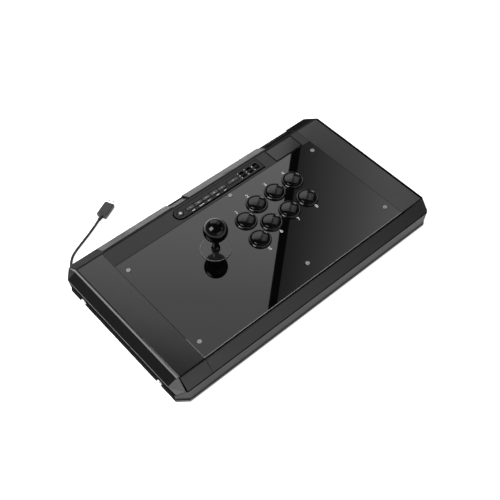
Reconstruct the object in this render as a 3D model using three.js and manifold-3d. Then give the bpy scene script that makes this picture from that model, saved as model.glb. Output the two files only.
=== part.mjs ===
// Arcade joystick panel: a long, low controller with a ball-top lever, eight push buttons in two
// rows, a strip of small keys and slide switches along the back, a touchpad, and a cable that is
// wound in a bay behind a hinged door.
// Millimetres, +Z up, +X to the player's right, +Y away from the player.
// Origin: middle of the footprint, on the table.

import * as THREE from 'three';
import { mergeVertices } from 'three/addons/utils/BufferGeometryUtils.js';
import Module from 'manifold-3d';

// ---------------------------------------------------------------- driving dimensions

const GAP = 0.3; // between touching pieces

// Whole body. Its widest line runs round it at WAIST_Z.
const HALF_WIDTH = 244.5;
const HALF_DEPTH = 132.3;
const WAIST_Z = 30.5;
const TOP_Z = 47;

// Flat top, inside the sloping rails.
const TOP_HALF_WIDTH = 229.5;
const TOP_FRONT = -115.2;
const TOP_BACK = 107.5;
const PANEL_UNDER_Z = 41.5;

// Clear cover and the metal plate under it.
const COVER_HALF_WIDTH = 187.3;
const COVER_BACK = 78.3;
const COVER_UNDER_Z = 44.5;
const SEAM_X = 187.6;

// Rails round the top.
const GROOVE = 1;
const RAIL_TOP_Z = 46.6;
const LIP = 3;
const FASCIA_TOP_Z = 46.2;
const FASCIA_TOP_WIDTH = 1.3;

// Lower case, bottom plate and feet.
const CASE_BOTTOM_Z = 3;
const CASE_TOP_Z = 29.3;
const FLANGE_TOP_Z = 7.5;
const NECK_TOP_Z = 31.8;
const PLATE_BOTTOM_Z = 3.3;
const PLATE_TOP_Z = 4.8;
const FOOT_RADIUS = 11;
const FOOT_HEIGHT = 3;
const FOOT_X = 205;
const FOOT_Y = 102;

// Lever. It tilts both ways about one point under the panel.
const LEVER = { x: -61.8, y: 11 };
const PIVOT_Z = 36;
const BALL_RADIUS = 17.5;
const BALL_Z = TOP_Z + 40.8;
const SHAFT_RADIUS = 4.75;
const LEVER_HOLE_RADIUS = 13;
const WASHER_RADIUS = 22.5;

// Push buttons: a back row and a front row of four, each with its first button set lower.
const BUTTON_PITCH = 36;
const BUTTON_HOLE_RADIUS = 15.1;
const RIM_RADIUS = 16.7;
const BACK_ROW = { x: 37.9, y: 35.2 };
const BACK_FIRST = { x: 4.6, y: 21.3 };
const FRONT_ROW = { x: 30.45, y: -4.3 };
const FRONT_FIRST = { x: -2.85, y: -16.85 };

// Strip of small controls on the back band.
const POD = { left: -68.5, right: 97, front: 83.5, back: 103.5, top: 48.2, floor: 44 };
const KEY_FRONT = 88.9;
const KEY_BACK = 96.5;
const KEY_PITCH = 15;
const KEYS_LEFT = -48;
const HOME = { x: -58.5, y: 93.5, radius: 4.5 };
const MUTE = { left: 31, right: 51.5 };
const SWITCH_XS = [61.3, 75, 87.6];
const SWITCH_SLOT = { width: 7, length: 11 };
const SWITCH_Y = 92.7;
const KEY_BOTTOM_Z = 44.9;
const TOUCHPAD = { left: 120.5, right: 172.5, front: 81, back: 106.8, top: 46.2, floor: 43.4 };

// Panel screws.
const SCREWS = [
  [-176.6, -91.9],
  [176.6, -91.9],
  [-176.6, 60.7],
  [176.6, 60.7],
  [18.4, -91.9],
  [19.4, 73.2],
];
const SCREW_HOLE_RADIUS = 1.9;

// Cable bay and its door in the back wall.
const DOOR = { left: -26.5, right: 126.5, bottom: 8 };
const DOOR_PIVOT = { y: 129.1, z: 9.7 };
const BAY = { left: -28.5, right: 128.5, front: 58, floor: 6.6, wallTop: 29.9 };
const RECESS = { left: -57, right: 187.3, depth: 3 };
const CABLE_HOLE = { x: -219, z: 9, radius: 3.6 };

// Cable.
const CORD_DIAMETER = 4;
const COIL = { x: 50, y: 92, inner: 12, outer: 32, bottom: 6.9, top: 25.8 };

// ---------------------------------------------------------------- solids

const wasm = await Module();
wasm.setup();

function solidOf(geometry) {
  const bare = geometry.clone();
  bare.deleteAttribute('normal');
  bare.deleteAttribute('uv');
  const merged = mergeVertices(bare, 1e-4);
  return new wasm.Manifold(new wasm.Mesh({
    numProp: 3,
    vertProperties: new Float32Array(merged.attributes.position.array),
    triVerts: new Uint32Array(merged.index.array),
  }));
}

function geometryOf(solid) {
  const mesh = solid.getMesh();
  const geometry = new THREE.BufferGeometry();
  geometry.setAttribute('position', new THREE.BufferAttribute(mesh.vertProperties, 3));
  geometry.setIndex(new THREE.BufferAttribute(mesh.triVerts, 1));
  return geometry;
}

function join(...geometries) {
  return geometryOf(geometries.map(solidOf).reduce((whole, part) => whole.add(part)));
}

function cut(geometry, ...tools) {
  return geometryOf(tools.map(solidOf).reduce((whole, tool) => whole.subtract(tool), solidOf(geometry)));
}

function block(x0, x1, y0, y1, z0, z1) {
  const box = new THREE.BoxGeometry(x1 - x0, y1 - y0, z1 - z0);
  return box.translate((x0 + x1) / 2, (y0 + y1) / 2, (z0 + z1) / 2);
}

// A round bar standing on z0 at (x, y).
function post(x, y, radius, z0, z1, sides = 16) {
  const bar = new THREE.CylinderGeometry(radius, radius, z1 - z0, sides);
  return bar.rotateX(Math.PI / 2).translate(x, y, (z0 + z1) / 2);
}

// A round bar along X or Y.
function barAlongX(x0, x1, y, z, radius, sides = 16) {
  const bar = new THREE.CylinderGeometry(radius, radius, x1 - x0, sides);
  return bar.rotateZ(Math.PI / 2).translate((x0 + x1) / 2, y, z);
}

function barAlongY(x, y0, y1, z, radius, sides = 16) {
  const bar = new THREE.CylinderGeometry(radius, radius, y1 - y0, sides);
  return bar.translate(x, (y0 + y1) / 2, z);
}

// A turned piece about a vertical axis, from [radius, z] points that start and end on the axis.
function turned(profile, sides = 20) {
  const points = profile.map(([radius, z]) => new THREE.Vector2(radius, z));
  return new THREE.LatheGeometry(points, sides).rotateX(Math.PI / 2);
}

// A flat piece from a plan outline.
function slab(shape, z0, z1, curveSegments = 12) {
  const flat = new THREE.ExtrudeGeometry(shape, { depth: z1 - z0, bevelEnabled: false, curveSegments });
  return flat.translate(0, 0, z0);
}

function roundedPlan(x0, x1, y0, y1, radius) {
  const shape = new THREE.Shape();
  shape.moveTo(x0 + radius, y0);
  shape.lineTo(x1 - radius, y0);
  shape.absarc(x1 - radius, y0 + radius, radius, -Math.PI / 2, 0);
  shape.lineTo(x1, y1 - radius);
  shape.absarc(x1 - radius, y1 - radius, radius, 0, Math.PI / 2);
  shape.lineTo(x0 + radius, y1);
  shape.absarc(x0 + radius, y1 - radius, radius, Math.PI / 2, Math.PI);
  shape.lineTo(x0, y0 + radius);
  shape.absarc(x0 + radius, y0 + radius, radius, Math.PI, 1.5 * Math.PI);
  return shape;
}

function roundedSlab(x0, x1, y0, y1, z0, z1, radius, curveSegments = 3) {
  return slab(roundedPlan(x0, x1, y0, y1, radius), z0, z1, curveSegments);
}

// A bar along X with a section given as [y, z] points.
function sectionAlongX(section, x0, x1) {
  const shape = new THREE.Shape(section.map(([y, z]) => new THREE.Vector2(y, z)));
  const bar = new THREE.ExtrudeGeometry(shape, { depth: x1 - x0, bevelEnabled: false });
  // the section's first axis turns to Y, its second to Z, and the depth to X
  bar.applyMatrix4(new THREE.Matrix4().makeBasis(
    new THREE.Vector3(0, 1, 0),
    new THREE.Vector3(0, 0, 1),
    new THREE.Vector3(1, 0, 0),
  ));
  return bar.translate(x0, 0, 0);
}

// A closed skin through plan outlines of equal point count, each at its own height, lowest first.
function loft(...rings) {
  const count = rings[0].plan.length;
  const positions = rings.flatMap(({ z, plan }) => plan.flatMap(([x, y]) => [x, y, z]));
  const index = [];
  const last = (rings.length - 1) * count;
  for (let ring = 0; ring < rings.length - 1; ring += 1) {
    for (let i = 0; i < count; i += 1) {
      const a = ring * count + i;
      const b = ring * count + (i + 1) % count;
      index.push(a, b, b + count, a, b + count, a + count);
    }
  }
  const lid = (plan) => THREE.ShapeUtils.triangulateShape(plan.map(([x, y]) => new THREE.Vector2(x, y)), []);
  for (const [a, b, c] of lid(rings[0].plan)) {
    index.push(c, b, a);
  }
  for (const [a, b, c] of lid(rings[rings.length - 1].plan)) {
    index.push(last + a, last + b, last + c);
  }
  const geometry = new THREE.BufferGeometry();
  geometry.setAttribute('position', new THREE.Float32BufferAttribute(positions, 3));
  geometry.setIndex(index);
  return geometry;
}

// Mirrors a plan outline left to right and keeps it counter-clockwise.
function mirrored(plan) {
  return plan.map(([x, y]) => [-x, y]).reverse();
}

// A rectangle in plan with its front and back corners cut off, counter-clockwise.
function cutRectangle(halfWidth, front, back, cutFront, cutBack) {
  return [
    [-halfWidth + cutFront[0], front],
    [halfWidth - cutFront[0], front],
    [halfWidth, front + cutFront[1]],
    [halfWidth, back - cutBack[1]],
    [halfWidth - cutBack[0], back],
    [-halfWidth + cutBack[0], back],
    [-halfWidth, back - cutBack[1]],
    [-halfWidth, front + cutFront[1]],
  ];
}

// ---------------------------------------------------------------- the assembly

const panel = new THREE.Group();
panel.name = 'arcade_joystick_panel';

const FINISH = {
  mattePlastic: [0x262628, 0.55, 0],
  darkPlastic: [0x151516, 0.45, 0],
  glossPlastic: [0x08080a, 0.12, 0],
  metalPlate: [0x2c2c2e, 0.45, 0.6],
  clearCover: [0x101012, 0.03, 0],
  smokedClear: [0x303033, 0.1, 0],
  steel: [0x9a9a9c, 0.3, 1],
  rubber: [0x121212, 0.9, 0],
  board: [0x12402a, 0.6, 0],
};

function add(name, geometry, finish, position = [0, 0, 0], parent = panel) {
  const [color, roughness, metalness] = FINISH[finish];
  const mesh = new THREE.Mesh(geometry, new THREE.MeshStandardMaterial({ color, roughness, metalness }));
  mesh.name = name;
  mesh.position.set(...position);
  parent.add(mesh);
  return mesh;
}

// ---------------------------------------------------------------- case, bottom plate, feet

const CUT_FRONT = [15, 12];
const CUT_BACK = [15, 18];

// The front corner facet of each side cap runs on below the waist as a three-cornered plate.
const TOE_BACK = [-HALF_WIDTH, -109, WAIST_Z];
const TOE_FRONT = [-231.5, -130.1, WAIST_Z];
const TOE_TIP = [-240.6, -120.75, 20.1];
const TOE_THICKNESS = 1.5;
const TOE_ROOT = 0.8; // how far the plate reaches up into the cap
const TOE_SET_BACK = 0.05;

// With a clearance it is the pocket for that plate, open to the outside.
function toe(side, clearance = 0) {
  const place = ([x, y, z]) => new THREE.Vector3(-side * x, y, z);
  const [from, to] = side < 0 ? [TOE_BACK, TOE_FRONT] : [TOE_FRONT, TOE_BACK];
  const along = place(to).sub(place(from));
  const toTip = place(TOE_TIP).sub(place(from));
  const length = along.length();
  along.normalize();
  const outward = toTip.clone().cross(along).normalize();
  const up = outward.clone().cross(along);
  const tipAlong = toTip.dot(along);
  const tipDown = toTip.dot(up);
  const triangle = new THREE.Shape([
    new THREE.Vector2(-4 * clearance, TOE_ROOT + 2 * clearance),
    new THREE.Vector2(tipAlong, tipDown - 2 * clearance),
    new THREE.Vector2(length + 4 * clearance, TOE_ROOT + 2 * clearance),
  ]);
  const open = clearance > 0 ? 8 : 0;
  const plate = new THREE.ExtrudeGeometry(triangle, {
    depth: TOE_THICKNESS + clearance + open,
    bevelEnabled: false,
  });
  plate.translate(0, 0, -TOE_THICKNESS - TOE_SET_BACK - clearance);
  plate.applyMatrix4(new THREE.Matrix4().makeBasis(along, up, outward));
  return plate.translate(...place(from).toArray());
}

function lowerCase() {
  const flange = cutRectangle(241.6, -132.3, 131, CUT_FRONT, CUT_BACK);
  const wallFoot = cutRectangle(240.8, -131.3, 130.2, CUT_FRONT, CUT_BACK);
  const wallTop = cutRectangle(243.7, -131.6, 131.4, CUT_FRONT, CUT_BACK);
  const neck = cutRectangle(229.9, -115.7, 108.3, [3, 3], [3, 3]);
  const outer = loft(
    { z: CASE_BOTTOM_Z, plan: flange },
    { z: FLANGE_TOP_Z, plan: flange },
    { z: FLANGE_TOP_Z, plan: wallFoot },
    { z: CASE_TOP_Z, plan: wallTop },
    { z: CASE_TOP_Z, plan: neck },
    { z: NECK_TOP_Z, plan: neck },
  );
  const mouth = cutRectangle(226.9, -112.7, 105.3, [2, 2], [2, 2]);
  const hollow = loft(
    { z: 2.5, plan: cutRectangle(233.2, -126, 126, [14, 11], [14, 17]) },
    { z: 26, plan: cutRectangle(238.5, -127.5, 127, [14, 11], [14, 17]) },
    { z: 26, plan: mouth },
    { z: NECK_TOP_Z + 1, plan: mouth },
  );
  const bayWall = join(
    block(BAY.left - 2, BAY.right + 2, BAY.front - 2, 128.5, PLATE_TOP_Z + GAP, BAY.wallTop),
    post(COIL.x, COIL.y, 9, BAY.floor - 1, BAY.floor + 1),
  );
  const bayHollow = block(BAY.left, BAY.right, BAY.front, 126.2, BAY.floor, NECK_TOP_Z + 1);
  const doorway = block(DOOR.left - 0.5, DOOR.right + 0.5, 125.5, 135, 7.2, CASE_TOP_Z + 0.6);
  const supports = [];
  for (const side of [-1, 1]) {
    for (const y of [-95, 0, 93]) {
      const [x0, x1] = side < 0 ? [-228, -214] : [214, 228];
      supports.push(block(x0, x1, y - 4, y + 4, PLATE_TOP_Z + 1, PANEL_UNDER_Z - GAP));
    }
    for (const x of [55, 165]) {
      supports.push(block(side * x - 4, side * x + 4, -114.5, -106, PLATE_TOP_Z + 1, PANEL_UNDER_Z - GAP));
    }
  }
  const spool = turned([[0, BAY.floor - 0.5], [9, BAY.floor - 0.5], [9, 24], [8, 25], [0, 25]], 24);
  const walls = cut(join(cut(outer, hollow), bayWall, ...supports), bayHollow, doorway);
  return cut(
    join(walls, spool.translate(COIL.x, COIL.y, 0)),
    toe(-1, 2 * GAP),
    toe(1, 2 * GAP),
    barAlongY(CABLE_HOLE.x, 118, 135, CABLE_HOLE.z, CABLE_HOLE.radius),
    barAlongX(DOOR.left - 4, DOOR.left, DOOR_PIVOT.y, DOOR_PIVOT.z, 1.3),
    barAlongX(DOOR.right, DOOR.right + 4, DOOR_PIVOT.y, DOOR_PIVOT.z, 1.3),
    block(BAY.left - 3, BAY.left + 1, 112, 126, BAY.floor, 15),
  );
}

function bottomPlate() {
  const plan = cutRectangle(232.6, -125.4, 125.4, [14, 11], [14, 17]);
  const plate = loft({ z: PLATE_BOTTOM_Z, plan }, { z: PLATE_TOP_Z, plan });
  const slots = [];
  for (const x of [-60, -20, 20, 60]) {
    slots.push(roundedSlab(x - 14, x + 14, -62, -58, 2, 6, 1.9, 2));
    slots.push(roundedSlab(x - 14, x + 14, -52, -48, 2, 6, 1.9, 2));
  }
  return cut(plate, ...slots);
}

function foot() {
  const r = FOOT_RADIUS;
  return turned([[0, 0], [r - 1, 0], [r, 0.8], [r, FOOT_HEIGHT], [0, FOOT_HEIGHT]]);
}

add('lower_case', lowerCase(), 'darkPlastic');
add('bottom_plate', bottomPlate(), 'metalPlate');
const footPlaces = { front_left: [-1, -1], front_right: [1, -1], back_left: [-1, 1], back_right: [1, 1] };
for (const [place, [sx, sy]] of Object.entries(footPlaces)) {
  add(`foot_${place}`, foot(), 'rubber', [sx * FOOT_X, sy * FOOT_Y, 0]);
}

// ---------------------------------------------------------------- rails and side caps

// A side cap: the matt end of the top, the sloping side below it and the two cut corners.
function sideCap(side) {
  const inner = -TOP_HALF_WIDTH - GROOVE;
  const lip = inner - LIP;
  const low = [
    [-HALF_WIDTH, -109],
    [-231.5, -130.1],
    [-230.9, -129.5],
    [inner, -116],
    [inner, 108.4],
    [-230.2, 129.6],
    [-230.8, 130.3],
    [-HALF_WIDTH, 113],
  ];
  const high = [
    [lip, -114.4],
    [inner - 0.5, -115.9],
    [inner, -115.9],
    [inner, -115],
    [inner, 108],
    [inner, 109.2],
    [inner - 0.5, 109.3],
    [lip, 106.8],
  ];
  const place = side < 0 ? (plan) => plan : mirrored;
  const rail = loft({ z: WAIST_Z, plan: place(low) }, { z: RAIL_TOP_Z, plan: place(high) });
  const across = (x0, x1, ...rest) => (side < 0 ? block(x0, x1, ...rest) : block(-x1, -x0, ...rest));
  const top = across(-TOP_HALF_WIDTH, -SEAM_X - 0.2, TOP_FRONT, TOP_BACK, PANEL_UNDER_Z, TOP_Z);
  const web = across(-233.6, -225, TOP_FRONT + 1, TOP_BACK - 1, PANEL_UNDER_Z, 45);
  const tongue = across(-241, inner - 0.4, -104, 108, CASE_TOP_Z + GAP, WAIST_Z + 1);
  return join(rail, top, web, tongue, toe(side));
}

add('side_cap_left', sideCap(-1), 'mattePlastic');
add('side_cap_right', sideCap(1), 'mattePlastic');

// The front rail's slope faces the player. Two fine seams continue the ends of the clear cover.
function frontRail() {
  const back = TOP_FRONT - 1.1;
  const lowPlan = [[-229, -HALF_DEPTH], [229, -HALF_DEPTH], [229.4, back], [-229.4, back]];
  const crest = back - FASCIA_TOP_WIDTH;
  const highPlan = [[-229.4, crest], [229.4, crest], [229.4, back], [-229.4, back]];
  const rail = loft({ z: WAIST_Z, plan: lowPlan }, { z: FASCIA_TOP_Z, plan: highPlan });
  const tongue = block(-222, 222, -128, -118, CASE_TOP_Z + GAP, WAIST_Z + 1);
  const rise = FASCIA_TOP_Z - WAIST_Z;
  const run = crest + HALF_DEPTH;
  const seams = [-SEAM_X, SEAM_X].map((x) => {
    const blade = new THREE.BoxGeometry(0.5, 2 * Math.hypot(rise, run), 1.2);
    blade.rotateX(Math.atan2(rise, run));
    return blade.translate(x, -HALF_DEPTH + run / 2, WAIST_Z + rise / 2);
  });
  return cut(join(rail, tongue), ...seams);
}

add('front_rail', frontRail(), 'darkPlastic');

// The back slope, from its top edge down to the waist.
const BACK_CREST = { y: TOP_BACK + 2.7, z: FASCIA_TOP_Z };
const BACK_SLOPE = Math.hypot(HALF_DEPTH - BACK_CREST.y, BACK_CREST.z - WAIST_Z);

// A point s down the back slope and depth below it, as [y, z].
function onBackSlope(s, depth) {
  const dy = (HALF_DEPTH - BACK_CREST.y) / BACK_SLOPE;
  const dz = (WAIST_Z - BACK_CREST.z) / BACK_SLOPE;
  return [BACK_CREST.y + dy * s + dz * depth, BACK_CREST.z + dz * s - dy * depth];
}

function backRail() {
  const front = TOP_BACK + 1.3;
  const lowPlan = [[-229.3, front], [229.3, front], [228.3, HALF_DEPTH], [-228.3, HALF_DEPTH]];
  const highPlan = [[-229.4, front], [229.4, front], [229.4, BACK_CREST.y], [-229.4, BACK_CREST.y]];
  const rail = loft({ z: WAIST_Z, plan: lowPlan }, { z: FASCIA_TOP_Z, plan: highPlan });
  const tongues = [[-222, BAY.left - 3], [BAY.right + 3, 222]].map(
    ([x0, x1]) => block(x0, x1, 111, 126, CASE_TOP_Z + GAP, WAIST_Z + 1),
  );
  const recess = sectionAlongX([
    onBackSlope(2, -6),
    onBackSlope(2, RECESS.depth),
    onBackSlope(BACK_SLOPE + 8, RECESS.depth),
    onBackSlope(BACK_SLOPE + 8, -6),
  ], RECESS.left, RECESS.right);
  return cut(join(rail, ...tongues), recess);
}

add('back_rail', backRail(), 'darkPlastic');

// The door lies in the rail's recess, bends at the waist and closes the doorway. It hangs on two
// pins at its lower edge and swings out and down.
function cableDoor() {
  const thickness = 2.6;
  const leaf = sectionAlongX([
    onBackSlope(2.6, 0),
    onBackSlope(2.6, thickness),
    [129.4, 29.5],
    [128.1, DOOR.bottom + 1.5],
    [128.1, DOOR.bottom + 0.6],
    [130.5, DOOR.bottom + 0.6],
    [HALF_DEPTH, WAIST_Z],
  ], DOOR.left, DOOR.right);
  const barrel = barAlongX(DOOR.left, DOOR.right, DOOR_PIVOT.y, DOOR_PIVOT.z, 1.9);
  const pins = barAlongX(DOOR.left - 3, DOOR.right + 3, DOOR_PIVOT.y, DOOR_PIVOT.z, 1);
  const fingerTab = block(40, 60, 112.5, 116.2, 41.5, 42.3);
  return join(leaf, barrel, pins, fingerTab);
}

add('cable_door', cableDoor(), 'darkPlastic');

// ---------------------------------------------------------------- face plate and clear cover

const buttons = [
  BACK_FIRST,
  ...[0, 1, 2].map((i) => ({ x: BACK_ROW.x + i * BUTTON_PITCH, y: BACK_ROW.y })),
  FRONT_FIRST,
  ...[0, 1, 2].map((i) => ({ x: FRONT_ROW.x + i * BUTTON_PITCH, y: FRONT_ROW.y })),
];

function panelHoles(z0, z1) {
  return [
    post(LEVER.x, LEVER.y, LEVER_HOLE_RADIUS, z0, z1, 24),
    ...buttons.map(({ x, y }) => post(x, y, BUTTON_HOLE_RADIUS, z0, z1, 24)),
    ...SCREWS.map(([x, y]) => post(x, y, SCREW_HOLE_RADIUS, z0, z1, 8)),
  ];
}

// The pod's outline: a half-round left end and a square right end, grown by clearance.
function podPlan(clearance) {
  const radius = (POD.back - POD.front) / 2;
  const shape = new THREE.Shape();
  shape.moveTo(POD.left + radius, POD.front - clearance);
  shape.lineTo(POD.right + clearance, POD.front - clearance);
  shape.lineTo(POD.right + clearance, POD.back + clearance);
  shape.lineTo(POD.left + radius, POD.back + clearance);
  shape.absarc(POD.left + radius, POD.front + radius, radius + clearance, Math.PI / 2, 1.5 * Math.PI);
  return shape;
}

function facePlate() {
  const plate = join(
    block(-COVER_HALF_WIDTH, COVER_HALF_WIDTH, TOP_FRONT, TOP_BACK, PANEL_UNDER_Z, COVER_UNDER_Z - GAP),
    block(-COVER_HALF_WIDTH, COVER_HALF_WIDTH, COVER_BACK + GAP, TOP_BACK, PANEL_UNDER_Z, TOP_Z),
  );
  return cut(
    plate,
    ...panelHoles(PANEL_UNDER_Z - 1, TOP_Z + 1),
    slab(podPlan(0.4), PANEL_UNDER_Z - 1, TOP_Z + 1, 12),
    block(
      TOUCHPAD.left - 0.4,
      TOUCHPAD.right + 0.4,
      TOUCHPAD.front - 0.4,
      TOUCHPAD.back + 0.2,
      TOUCHPAD.floor,
      TOP_Z + 1,
    ),
  );
}

function clearCover() {
  const sheet = block(
    -COVER_HALF_WIDTH,
    COVER_HALF_WIDTH,
    TOP_FRONT + GAP,
    COVER_BACK,
    COVER_UNDER_Z,
    TOP_Z,
  );
  return cut(sheet, ...panelHoles(COVER_UNDER_Z - 1, TOP_Z + 1));
}

function panelScrew() {
  const head = TOP_Z + 0.25;
  const body = turned([
    [0, 34],
    [1.5, 34],
    [1.5, head],
    [3.3, head],
    [3.3, head + 0.6],
    [2.6, head + 1],
    [0, head + 1],
  ], 12);
  return cut(body, post(0, 0, 1.3, head + 0.1, head + 2, 6));
}

add('face_plate', facePlate(), 'metalPlate');
add('clear_cover', clearCover(), 'clearCover');
SCREWS.forEach(([x, y], i) => add(`panel_screw_${i + 1}`, panelScrew(), 'steel', [x, y, 0]));

// ---------------------------------------------------------------- strip of small controls

function controlPod() {
  const bar = slab(podPlan(0), PANEL_UNDER_Z + 0.5, POD.top, 12);
  const pockets = [
    post(HOME.x, HOME.y, HOME.radius + 0.4, POD.floor, TOP_Z + 5, 20),
    block(KEYS_LEFT, KEYS_LEFT + 5 * KEY_PITCH, KEY_FRONT, KEY_BACK, POD.floor, TOP_Z + 5),
    block(MUTE.left, MUTE.right, KEY_FRONT, KEY_BACK, POD.floor, TOP_Z + 5),
    ...SWITCH_XS.map((x) => block(
      x - SWITCH_SLOT.width / 2,
      x + SWITCH_SLOT.width / 2,
      SWITCH_Y - SWITCH_SLOT.length / 2,
      SWITCH_Y + SWITCH_SLOT.length / 2,
      POD.floor,
      TOP_Z + 5,
    )),
  ];
  return cut(bar, ...pockets);
}

// A small key with a cut top edge.
function smallKey(width, depth, top) {
  const ring = (dx, dy) => [[-dx, -dy], [dx, -dy], [dx, dy], [-dx, dy]];
  const [x, y] = [width / 2, depth / 2];
  return loft(
    { z: KEY_BOTTOM_Z, plan: ring(x, y) },
    { z: top - 0.5, plan: ring(x, y) },
    { z: top, plan: ring(x - 0.5, y - 0.5) },
  );
}

function slideKnob() {
  const ring = (dx, dy) => [[-dx, -dy], [dx, -dy], [dx, dy], [-dx, dy]];
  return loft(
    { z: POD.floor + GAP, plan: ring(3.1, 2.7) },
    { z: 46.2, plan: ring(3.1, 2.7) },
    { z: 46.2, plan: ring(2.2, 2) },
    { z: 48, plan: ring(1.9, 1.7) },
  );
}

function homeButton() {
  const r = HOME.radius;
  return turned([[0, KEY_BOTTOM_Z], [r, KEY_BOTTOM_Z], [r, 48.5], [r - 0.5, 48.9], [0, 49]]);
}

const keyDepth = KEY_BACK - KEY_FRONT - 0.7;
const keyY = (KEY_FRONT + KEY_BACK) / 2;
add('control_pod', controlPod(), 'darkPlastic');
add('home_button', homeButton(), 'glossPlastic', [HOME.x, HOME.y, 0]);
for (let i = 0; i < 5; i += 1) {
  const x = KEYS_LEFT + (i + 0.5) * KEY_PITCH;
  add(`function_key_${i + 1}`, smallKey(KEY_PITCH - 0.7, keyDepth, 48.7), 'darkPlastic', [x, keyY, 0]);
}
const muteX = (MUTE.left + MUTE.right) / 2;
add('mute_key', smallKey(MUTE.right - MUTE.left - 0.7, keyDepth, 48.7), 'darkPlastic', [muteX, keyY, 0]);
SWITCH_XS.forEach((x, i) => add(`slide_switch_${i + 1}`, slideKnob(), 'glossPlastic', [x, SWITCH_Y, 0]));

function touchpad() {
  const { left, right, front, back, top, floor } = TOUCHPAD;
  return roundedSlab(left, right, front, back, floor + 0.8, top, 1.2);
}

add('touchpad', touchpad(), 'glossPlastic');

// ---------------------------------------------------------------- lever

function leverShaft() {
  const s = SHAFT_RADIUS;
  return turned([
    [0, 8.4],
    [3, 8.4],
    [3.2, 9],
    [5.3, 9],
    [5.3, 18],
    [3.4, 19.5],
    [3.4, 28.2],
    [6.6, 30.6],
    [8.2, 34],
    [8.4, PIVOT_Z],
    [8.2, 38],
    [s, 38.3],
    [s, 50.3],
    [6.5, 50.3],
    [6.5, 51.6],
    [5.4, 54],
    [s, 56],
    [s, BALL_Z - 4.3],
    [0, BALL_Z - 4.3],
  ]);
}

function ballTop() {
  const rows = 14;
  const profile = [];
  for (let i = 0; i <= rows; i += 1) {
    const angle = -Math.PI / 2 + (i * Math.PI) / rows;
    profile.push([Math.abs(BALL_RADIUS * Math.cos(angle)), BALL_RADIUS * Math.sin(angle)]);
  }
  profile[0][0] = 0;
  profile[rows][0] = 0;
  return cut(turned(profile, 24), post(0, 0, SHAFT_RADIUS + GAP, -BALL_RADIUS - 2, -4));
}

function washer(outer, hole, z0, z1) {
  const edge = Math.min(0.5, (z1 - z0) / 3);
  return turned([
    [hole, z0],
    [outer, z0],
    [outer, z1 - edge],
    [outer - edge, z1],
    [hole, z1],
    [hole, z0],
  ], 32);
}

// A square tray with cut corners round the lever, wide enough for it to tilt inside.
function leverHousing() {
  const plan = cutRectangle(29, -29, 29, [4, 4], [4, 4]);
  return cut(
    loft({ z: 20, plan }, { z: 38.3, plan }),
    post(0, 0, 14, 19, 32.5),
    post(0, 0, 10.4, 32, 39),
  );
}

function mountPlate() {
  const sheet = roundedSlab(-42, 42, -28, 28, 38.6, 40.2, 4);
  const holes = [[-36, -20], [36, -20], [-36, 20], [36, 20]].map(([x, y]) => post(x, y, 2.2, 38, 41, 12));
  return cut(sheet, post(0, 0, 11, 38, 41), ...holes);
}

// Four micro-switches hang round the lever under a small board.
function switchBoard() {
  const card = cut(block(-28, 28, -28, 28, 18, 19.7), post(0, 0, 13, 17, 20));
  const near = 13.6;
  const far = 20;
  const switches = [
    block(near, far, -10, 10, 12, 18.2),
    block(-far, -near, -10, 10, 12, 18.2),
    block(-10, 10, near, far, 12, 18.2),
    block(-10, 10, -far, -near, 12, 18.2),
  ];
  return join(card, ...switches);
}

function restrictorGate() {
  const plan = cutRectangle(30, -30, 30, [6, 6], [6, 6]);
  return cut(loft({ z: 7, plan }, { z: 11.6, plan }), roundedSlab(-9.7, 9.7, -9.7, 9.7, 6, 13, 2));
}

function springRing() {
  return turned([[9, 22], [11, 22], [11, 29.2], [9, 29.2], [9, 22]], 24);
}

const lever = new THREE.Group();
lever.position.set(LEVER.x, LEVER.y, 0);
panel.add(lever);
add('lever_shaft', leverShaft(), 'glossPlastic', [0, 0, 0], lever);
add('ball_top', ballTop(), 'glossPlastic', [0, 0, BALL_Z], lever);
add('dust_washer', washer(WASHER_RADIUS, 5.7, TOP_Z + GAP, TOP_Z + 1.7), 'smokedClear', [0, 0, 0], lever);
add('lower_dust_washer', washer(17, 6.4, 40.5, 41.2), 'smokedClear', [0, 0, 0], lever);
add('lever_mount_plate', mountPlate(), 'steel', [0, 0, 0], lever);
add('lever_housing', leverHousing(), 'darkPlastic', [0, 0, 0], lever);
add('return_spring', springRing(), 'steel', [0, 0, 0], lever);
add('switch_board', switchBoard(), 'board', [0, 0, 0], lever);
add('restrictor_gate', restrictorGate(), 'smokedClear', [0, 0, 0], lever);

// ---------------------------------------------------------------- push buttons

function buttonHousing() {
  return turned([
    [0, 27.5],
    [14.3, 27.5],
    [14.3, TOP_Z + GAP],
    [RIM_RADIUS, TOP_Z + GAP],
    [RIM_RADIUS, 48.6],
    [15.4, 49.9],
    [14.4, 49.9],
    [13.2, 48.8],
    [13.2, 29.5],
    [0, 29.5],
  ]);
}

function buttonPlunger() {
  return turned([
    [0, 33.2],
    [4, 33.2],
    [4, 38],
    [12.8, 38],
    [12.8, 50.6],
    [11.6, 51.9],
    [6, 52.8],
    [0, 53],
  ]);
}

buttons.forEach(({ x, y }, i) => {
  add(`button_housing_${i + 1}`, buttonHousing(), 'glossPlastic', [x, y, 0]);
  add(`button_plunger_${i + 1}`, buttonPlunger(), 'glossPlastic', [x, y, 0]);
});

// ---------------------------------------------------------------- main board

function mainBoard() {
  const card = block(138, 206, -88, -8, 12, 13.6);
  const legs = [[143, -83], [201, -83], [143, -13], [201, -13]].map(
    ([x, y]) => post(x, y, 2.5, PLATE_TOP_Z + GAP, 12.5, 12),
  );
  const parts = [
    block(160, 176, -56, -40, 13, 15),
    block(183, 198, -40, -28, 13, 17),
    block(142, 149, -60, -30, 13, 19),
    block(160, 190, -84, -78, 13, 19),
  ];
  return join(card, ...legs, ...parts);
}

add('main_board', mainBoard(), 'board');

// ---------------------------------------------------------------- cable

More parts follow.
